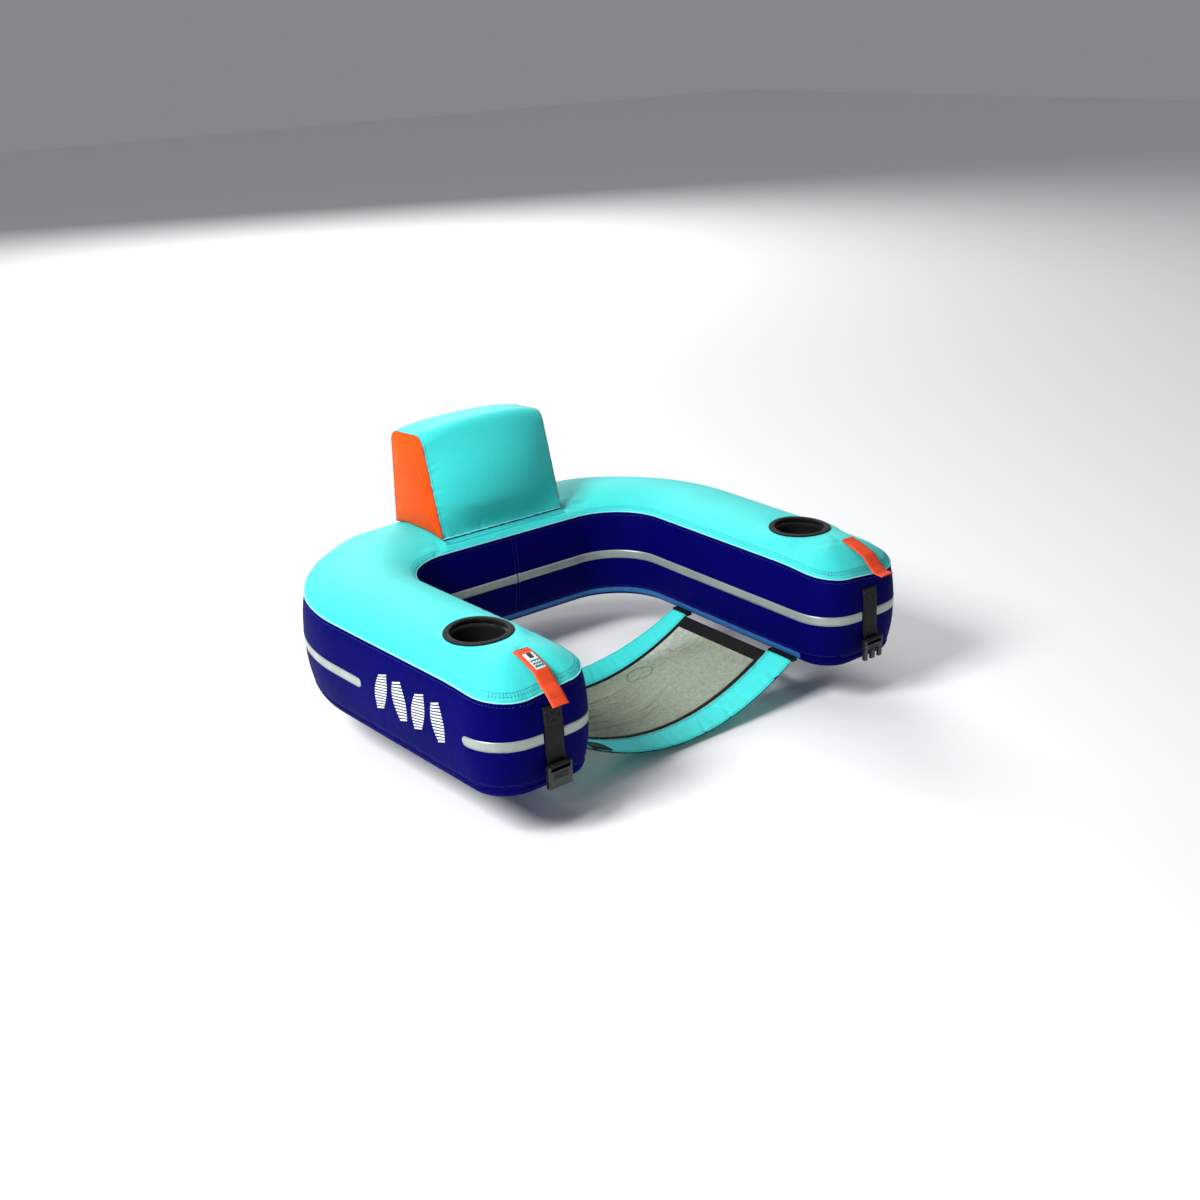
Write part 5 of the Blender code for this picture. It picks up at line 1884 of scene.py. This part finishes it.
@dataclass
class HangingSeat:
    """The mesh seat with its turquoise bands, bindings and edges."""

    plan: TubePlan
    clearance: float = 0.016
    attach_z: float = 0.006
    rear_band: tuple[float, float] = (-0.349, -0.304)
    front_band: tuple[float, float] = (-0.659, -0.592)
    binding: float = 0.008
    sag_rear: float = 0.060
    sag: float = 0.078
    keep: float = 0.05
    mesh_half: float = 0.905
    mesh_middle_y: float = -0.47
    ring_middle: tuple[float, float] = (0.105, -0.388)
    ring_half: tuple[float, float] = (0.030, 0.019)

    def point(self, u: np.ndarray, y: np.ndarray, lift: float | np.ndarray = 0.0) -> np.ndarray:
        """Points of the hanging surface; u runs from -1 to 1 between the arms."""
        half = self.plan.toe(np.full_like(y, self.plan.half_gap), y) - self.clearance
        settle = np.clip((self.rear_band[1] - y) / (self.rear_band[1] - self.rear_band[0]), 0, 1)
        sag = self.sag_rear + (self.sag - self.sag_rear) * settle
        return np.stack([u * half, y, self.attach_z - sag * (1 - u * u) + lift], -1)

    def grid(self, u: tuple[float, float], y: tuple[float, float], columns: int, rows: int) -> np.ndarray:
        """Grid of the hanging surface, rows forward to back."""
        across, along = np.meshgrid(np.linspace(*u, columns + 1), np.linspace(*y, rows + 1))
        return self.point(across, along)

    def flattening(self, obj: bpy.types.Object, slot: str | None = None, *nodes: str) -> bpy.types.Object:
        """Lets a piece ride on the float, hides the CAD nodes it stands for and gives it its own mesh."""
        mounted(obj, "float", slot, *nodes)
        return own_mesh(obj)

    def width_of(self, y: float) -> float:
        """Length of the seat's hanging line between the arms."""
        u = np.linspace(-1, 1, 60)
        return float(run_of(self.point(u, np.full(60, y)))[-1])

    def build(self) -> None:
        """Makes every piece of the seat."""
        self.field()
        for name, span in (("rear", self.rear_band), ("front", self.front_band)):
            self.band(name, span)
        self.bindings()
        self.edges()
        self.patch()

    def field(self) -> None:
        """The mesh, hung slack by simulation, with the folds that its seams pull into it."""
        front = self.front_band[1] + self.binding + 0.001
        rear = self.rear_band[0] - self.binding - 0.001
        grid = self.grid((-self.mesh_half, self.mesh_half), (front, rear), 90, 42)
        cloth = Sewing()
        ids = cloth.weld(grid)
        cloth.sew("mesh", ids, run_of(grid[20]), run_of(grid[:, 45]))
        pinned = np.zeros(len(cloth.points))
        pinned[np.concatenate([ids[0], ids[-1], ids[:, 0], ids[:, -1]])] = 1
        faces = [corners for corners, _ in cloth.panels["mesh"]]
        hang = Air(pressure=0.0, cap=0.007, frames=24, tension=8.0, bending=0.05, slack=0.035, gravity=1.0)
        points = hang.fill(np.array(cloth.points), faces, pinned)
        sheet = refine(cloth.piece("seat_net", "mesh", points, "mesh"))
        # Long folds that the weight of the cloth draws from the left arm, then short ones at the far corner.
        for k in range(6):
            start = (-0.150, self.front_band[1] + 0.030 + 0.030 * k, 0.0)
            end = (0.090 + 0.035 * (k % 3), start[1] + 0.055 - 0.006 * k, 0.0)
            Crease(start, end, height=0.0060 + 0.0012 * (k % 2), width=0.0065, bow=-0.012).press(sheet)
        for k in range(4):
            start = (0.165 + 0.008 * k, rear - 0.004, 0.0)
            end = (0.232, rear - 0.050 - 0.020 * k, 0.0)
            Crease(start, end, height=0.0028, width=0.0036, bow=-0.010 - 0.003 * k).press(sheet)
        surface = Surface(sheet)
        (x, y), (long, short) = self.ring_middle, self.ring_half
        oval = [(x + long * math.cos(a), y + short * math.sin(a), -0.06)
                for a in np.linspace(0, math.tau, 60, endpoint=False)]
        ring = Stitching("seat_ring", "grey_thread", Stitch(0.0050, 0.0010, 0.0011, 0.0007))
        ring.follow(surface, np.array(oval), closed=True)
        made = self.flattening(ring.made())
        thicken(sheet, 0.0006)
        self.flattening(sheet, "black_mesh", "seat_mesh")
        flat = round(self.mesh_half * self.width_of(self.mesh_middle_y), 3), round(rear - front, 3)

    def band(self, name: str, span: tuple[float, float]) -> None:
        """A padded band across the seat, with drawn creases and stitched edges."""
        grid = self.grid((-1, 1), span, 80, 12)
        share = np.linspace(-1, 1, 13)[:, None]
        grid[..., 2] += 0.0016 * (1 - share ** 4) - 0.0010
        sheet = refine(sheet_object(f"seat_{name}_panel", grid, "turquoise"))
        edge = self.point(np.linspace(-0.95, 0.95, 60), np.full(60, span[0] + 0.004))
        inward = np.tile((0.45, 1.0, 0.0), (60, 1))
        depth = 0.0015 if name == "front" else 0.0009
        Pucker(0.026, depth, 0.0038, 0.034, SEED + 50).press(sheet, edge, inward)
        back = self.point(np.linspace(-0.95, 0.95, 60), np.full(60, span[1] - 0.003))
        outward = np.tile((0, -1.0, 0), (60, 1))
        Pucker(0.022, depth * 0.7, 0.0045, 0.016, SEED + 51).press(sheet, back, outward)
        surface = Surface(sheet)
        rows = Stitching(f"seat_{name}_stitching", "turquoise_thread")
        insets = (0.004, -0.004, -0.008) if name == "front" else (0.004, -0.004)
        for inset in insets:
            y = span[0] + inset if inset > 0 else span[1] + inset
            rows.follow(surface, self.point(np.linspace(-0.99, 0.99, 120), np.full(120, y), 0.003))
        stitches = self.flattening(rows.made())
        thicken(sheet, 0.0024)
        self.flattening(sheet, "turquoise_neoprene", f"seat_{name}_band")
        middle = sum(span) / 2
        round(self.width_of(middle), 3)

    def bindings(self) -> None:
        """Black tapes between bands and mesh, and the thin one on the seat's front edge."""
        front, rear = self.front_band[1] + 0.0004, self.rear_band[0] - 0.0004 - self.binding
        for name, y, width, node in (
            ("seat_front_tape", front, self.binding, "seat_front_binding"),
            ("seat_rear_tape", rear, self.binding, "seat_rear_binding"),
            ("seat_edging", self.front_band[0] - 0.0008, 0.0040, None),
        ):
            half = 0.985
            grid = self.grid((-half, half), (y, y + width), 80, 4)
            share = np.linspace(-1, 1, 5)[:, None]
            lift = 0.0012 if node else -0.0022
            grid[..., 2] += 0.0009 * (1 - share ** 2) + lift
            tape = thicken(sheet_object(name, grid, "black_webbing"), 0.0020)
            self.flattening(tape, "black_webbing", *([node] if node else []))

    def edges(self) -> None:
        """Black side strips that hem the mesh beside the arms."""
        front = self.front_band[1] + self.binding + 0.0006
        rear = self.rear_band[0] - self.binding - 0.0006
        for side, label in ((-1, "left"), (1, "right")):
            span = (0.895, 0.985) if side > 0 else (-0.985, -0.895)
            grid = self.grid(span, (front, rear), 6, 40)
            grid[..., 2] += 0.0012
            strip = refine(sheet_object("seat_hem_" + label, grid, "black_foam"))
            hem = self.point(np.full(40, side * 0.90), np.linspace(front, rear, 40))
            outward = np.tile((side, 0.0, 0.0), (40, 1))
            Pucker(0.020, 0.0010, 0.0040, 0.020, SEED + 60).press(strip, hem, outward)
            thicken(strip, 0.0018)
            self.flattening(strip, "black_webbing", "seat_edge_" + label)

    def patch(self) -> None:
        """Black wear patch with one round corner on the left end of the front band."""
        low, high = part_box("seat_band_patch")
        u = np.linspace(-0.87, -0.70, 14)
        grid = []
        for share in np.linspace(0, 1, 11):
            right = -0.70 - 0.030 * max(0.0, share - 0.6) ** 2 / 0.16
            grid.append(self.point(-0.87 + (u + 0.87) / 0.17 * (right + 0.87),
                                   np.full(14, low.y + share * (high.y - low.y)), 0.0026))
        piece = thicken(sheet_object("band_wear_patch", np.array(grid), "black_foam"), 0.0010)
        self.flattening(piece, "black_webbing", "seat_band_patch")


# ---- Hardware, studio and main ------------------------------------------------------------------


class Hardware:
    """CAD pieces whose shape stands: their finishes, and small moulded details added on them."""

    NODES = {
        "buckle_socket": "acetal", "buckle_plug": "acetal", "zipper_slider": "zinc", "zipper_pull": "acetal",
        "valve_base": "valve", "valve_cap": "valve", "backrest_valve_base": "valve",
        "backrest_valve_cap": "valve", "tube_bladder": "film", "backrest_bladder": "film",
        "seat_anchor_front_left": "black_webbing", "seat_anchor_front_right": "black_webbing",
        "seat_anchor_rear_left": "black_webbing", "seat_anchor_rear_right": "black_webbing",
        "zipper_tape": "blue_tape",
    }

    def build(self) -> None:
        """Dresses the CAD nodes that stay in view."""
        for name, finish in self.NODES.items():
            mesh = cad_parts[name].data
            mesh.materials.clear()
            mesh.materials.append(finish_of(finish))
        for name, body in (("buckle_socket", "buckle_left"), ("buckle_plug", "buckle_right")):
            self.grip(name, body)
        for name, body in (("valve_cap", "valve_cap_body"), ("backrest_valve_cap", "backrest_cap")):
            self.thumb_ridge(name, body)

    @staticmethod
    def grip(node: str, body: str) -> None:
        """Moulds three grip ribs on the front of a buckle."""
        low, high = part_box(node)
        middle, half = (low.x + high.x) / 2, (high.x - low.x) * 0.30
        for k in range(3):
            bpy.ops.object.select_all(action="DESELECT")
            z = low.z + (high.z - low.z) * (0.44 + 0.09 * k)
            bpy.ops.mesh.primitive_cylinder_add(
                vertices=12, radius=0.0009, depth=2 * half, location=(middle, low.y, z),
                rotation=(0, math.pi / 2, 0), end_fill_type="NGON",
            )
            bpy.ops.object.mode_set(mode="EDIT")
            bpy.ops.mesh.select_all(action="SELECT")
            bpy.ops.mesh.bevel(offset=0.0004, segments=2, affect="EDGES")
            bpy.ops.object.mode_set(mode="OBJECT")
            Hardware.moulded(f"{node}_rib_{k}", "acetal", body, "black_acetal")

    @staticmethod
    def thumb_ridge(node: str, body: str) -> None:
        """Moulds a raised ring on the outside of a valve's cap."""
        low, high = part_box(node)
        centre = ((low.x + high.x) / 2, high.y, (low.z + high.z) / 2)
        bpy.ops.object.select_all(action="DESELECT")
        bpy.ops.mesh.primitive_torus_add(
            location=centre, rotation=(math.pi / 2, 0, 0), major_radius=0.0075, minor_radius=0.0008,
            major_segments=32, minor_segments=8,
        )
        Hardware.moulded(node + "_ridge", "valve", body, "white_valve")

    @staticmethod
    def moulded(name: str, finish: str, body: str, slot: str) -> None:
        """Names, dresses and mounts the detail that was just modelled, with its place in its mesh."""
        made = bpy.context.object
        made.name = name
        bpy.ops.object.transform_apply(location=True, rotation=True, scale=True)
        made.data.materials.append(finish_of(finish))
        made.data.shade_smooth()
        mounted(made, body, slot)


@dataclass(frozen=True)
class Lamp:
    """A soft box light."""

    name: str
    place: tuple[float, float, float]
    power: float
    size: float


@dataclass
class Studio:
    """Pale floor, soft lights and the camera."""

    azimuth: float = -37.74
    elevation: float = 21.62
    roll: float = -2.25
    lens: float = 45.0
    floor_gap: float = 0.012
    place: tuple[float, float, float] = (-1.6254, -2.5041, 1.1804)
    lamps: tuple[Lamp, ...] = (
        Lamp("key", (-2.6, -0.6, 2.4), 150.0, 1.2),
        Lamp("top", (0.1, 0.9, 3.2), 18.0, 2.0),
        Lamp("back", (2.6, 5.6, 3.6), 300.0, 4.0),
    )

    def build(self) -> None:
        """Sets the floor, world, lights and camera."""
        self.floor()
        self.world()
        target = Vector((0.0, -0.3, 0.15))
        for lamp in self.lamps:
            data = bpy.data.lights.new(lamp.name, "AREA")
            data.energy, data.size = lamp.power, lamp.size
            obj = bpy.data.objects.new(lamp.name, data)
            obj.location = lamp.place
            obj.rotation_euler = (target - Vector(lamp.place)).to_track_quat("-Z", "Y").to_euler()
            bpy.context.scene.collection.objects.link(obj)
        data = bpy.data.cameras.new("camera")
        data.lens, data.sensor_width = self.lens, 36.0
        data.clip_start, data.clip_end = 0.05, 50.0
        camera = bpy.data.objects.new("camera", data)
        camera.location = self.place
        turn = Euler((math.radians(90 - self.elevation), 0.0, math.radians(self.azimuth)), "XYZ").to_matrix()
        spin = Euler((0.0, 0.0, math.radians(self.roll)), "XYZ").to_matrix()
        camera.rotation_euler = (turn @ spin).to_euler()
        bpy.context.scene.collection.objects.link(camera)
        bpy.context.scene.camera = camera
        bpy.context.scene.view_settings.view_transform = "Standard"

    def floor(self) -> None:
        """A plain pale floor just below the seat."""
        bpy.ops.object.select_all(action="DESELECT")
        bpy.ops.mesh.primitive_plane_add(size=30, location=(0, 0, CAD_BOX[0][2] - self.floor_gap))
        floor = bpy.context.object
        floor.name = "floor"
        made = bpy.data.materials.new("pale_floor")
        made.use_nodes = True
        shader = made.node_tree.nodes["Principled BSDF"]
        shader.inputs["Base Color"].default_value = linear("#F4F5F5")
        shader.inputs["Roughness"].default_value = 0.8
        floor.data.materials.append(made)

    def world(self) -> None:
        """An even, pale sky."""
        world = bpy.data.worlds.new("studio")
        bpy.context.scene.world = world
        world.use_nodes = True
        background = world.node_tree.nodes["Background"]
        background.inputs[0].default_value = linear("#F4F6F8")
        background.inputs[1].default_value = 0.26


def main() -> None:
    """Builds every sub-assembly in order."""
    logging.basicConfig(level=logging.INFO, format="%(name)s %(message)s")
    Studio().build()
    tube = TubeCover(TubePlan())
    tube.build()
    WallTrim(tube).build()
    for side in (-1, 1):
        CupHolder(tube, side).build()
    Webbing(tube).build()
    Backrest(tube).build()
    HangingSeat(tube.plan).build()
    Hardware().build()


if __name__ == "__main__":
    main()
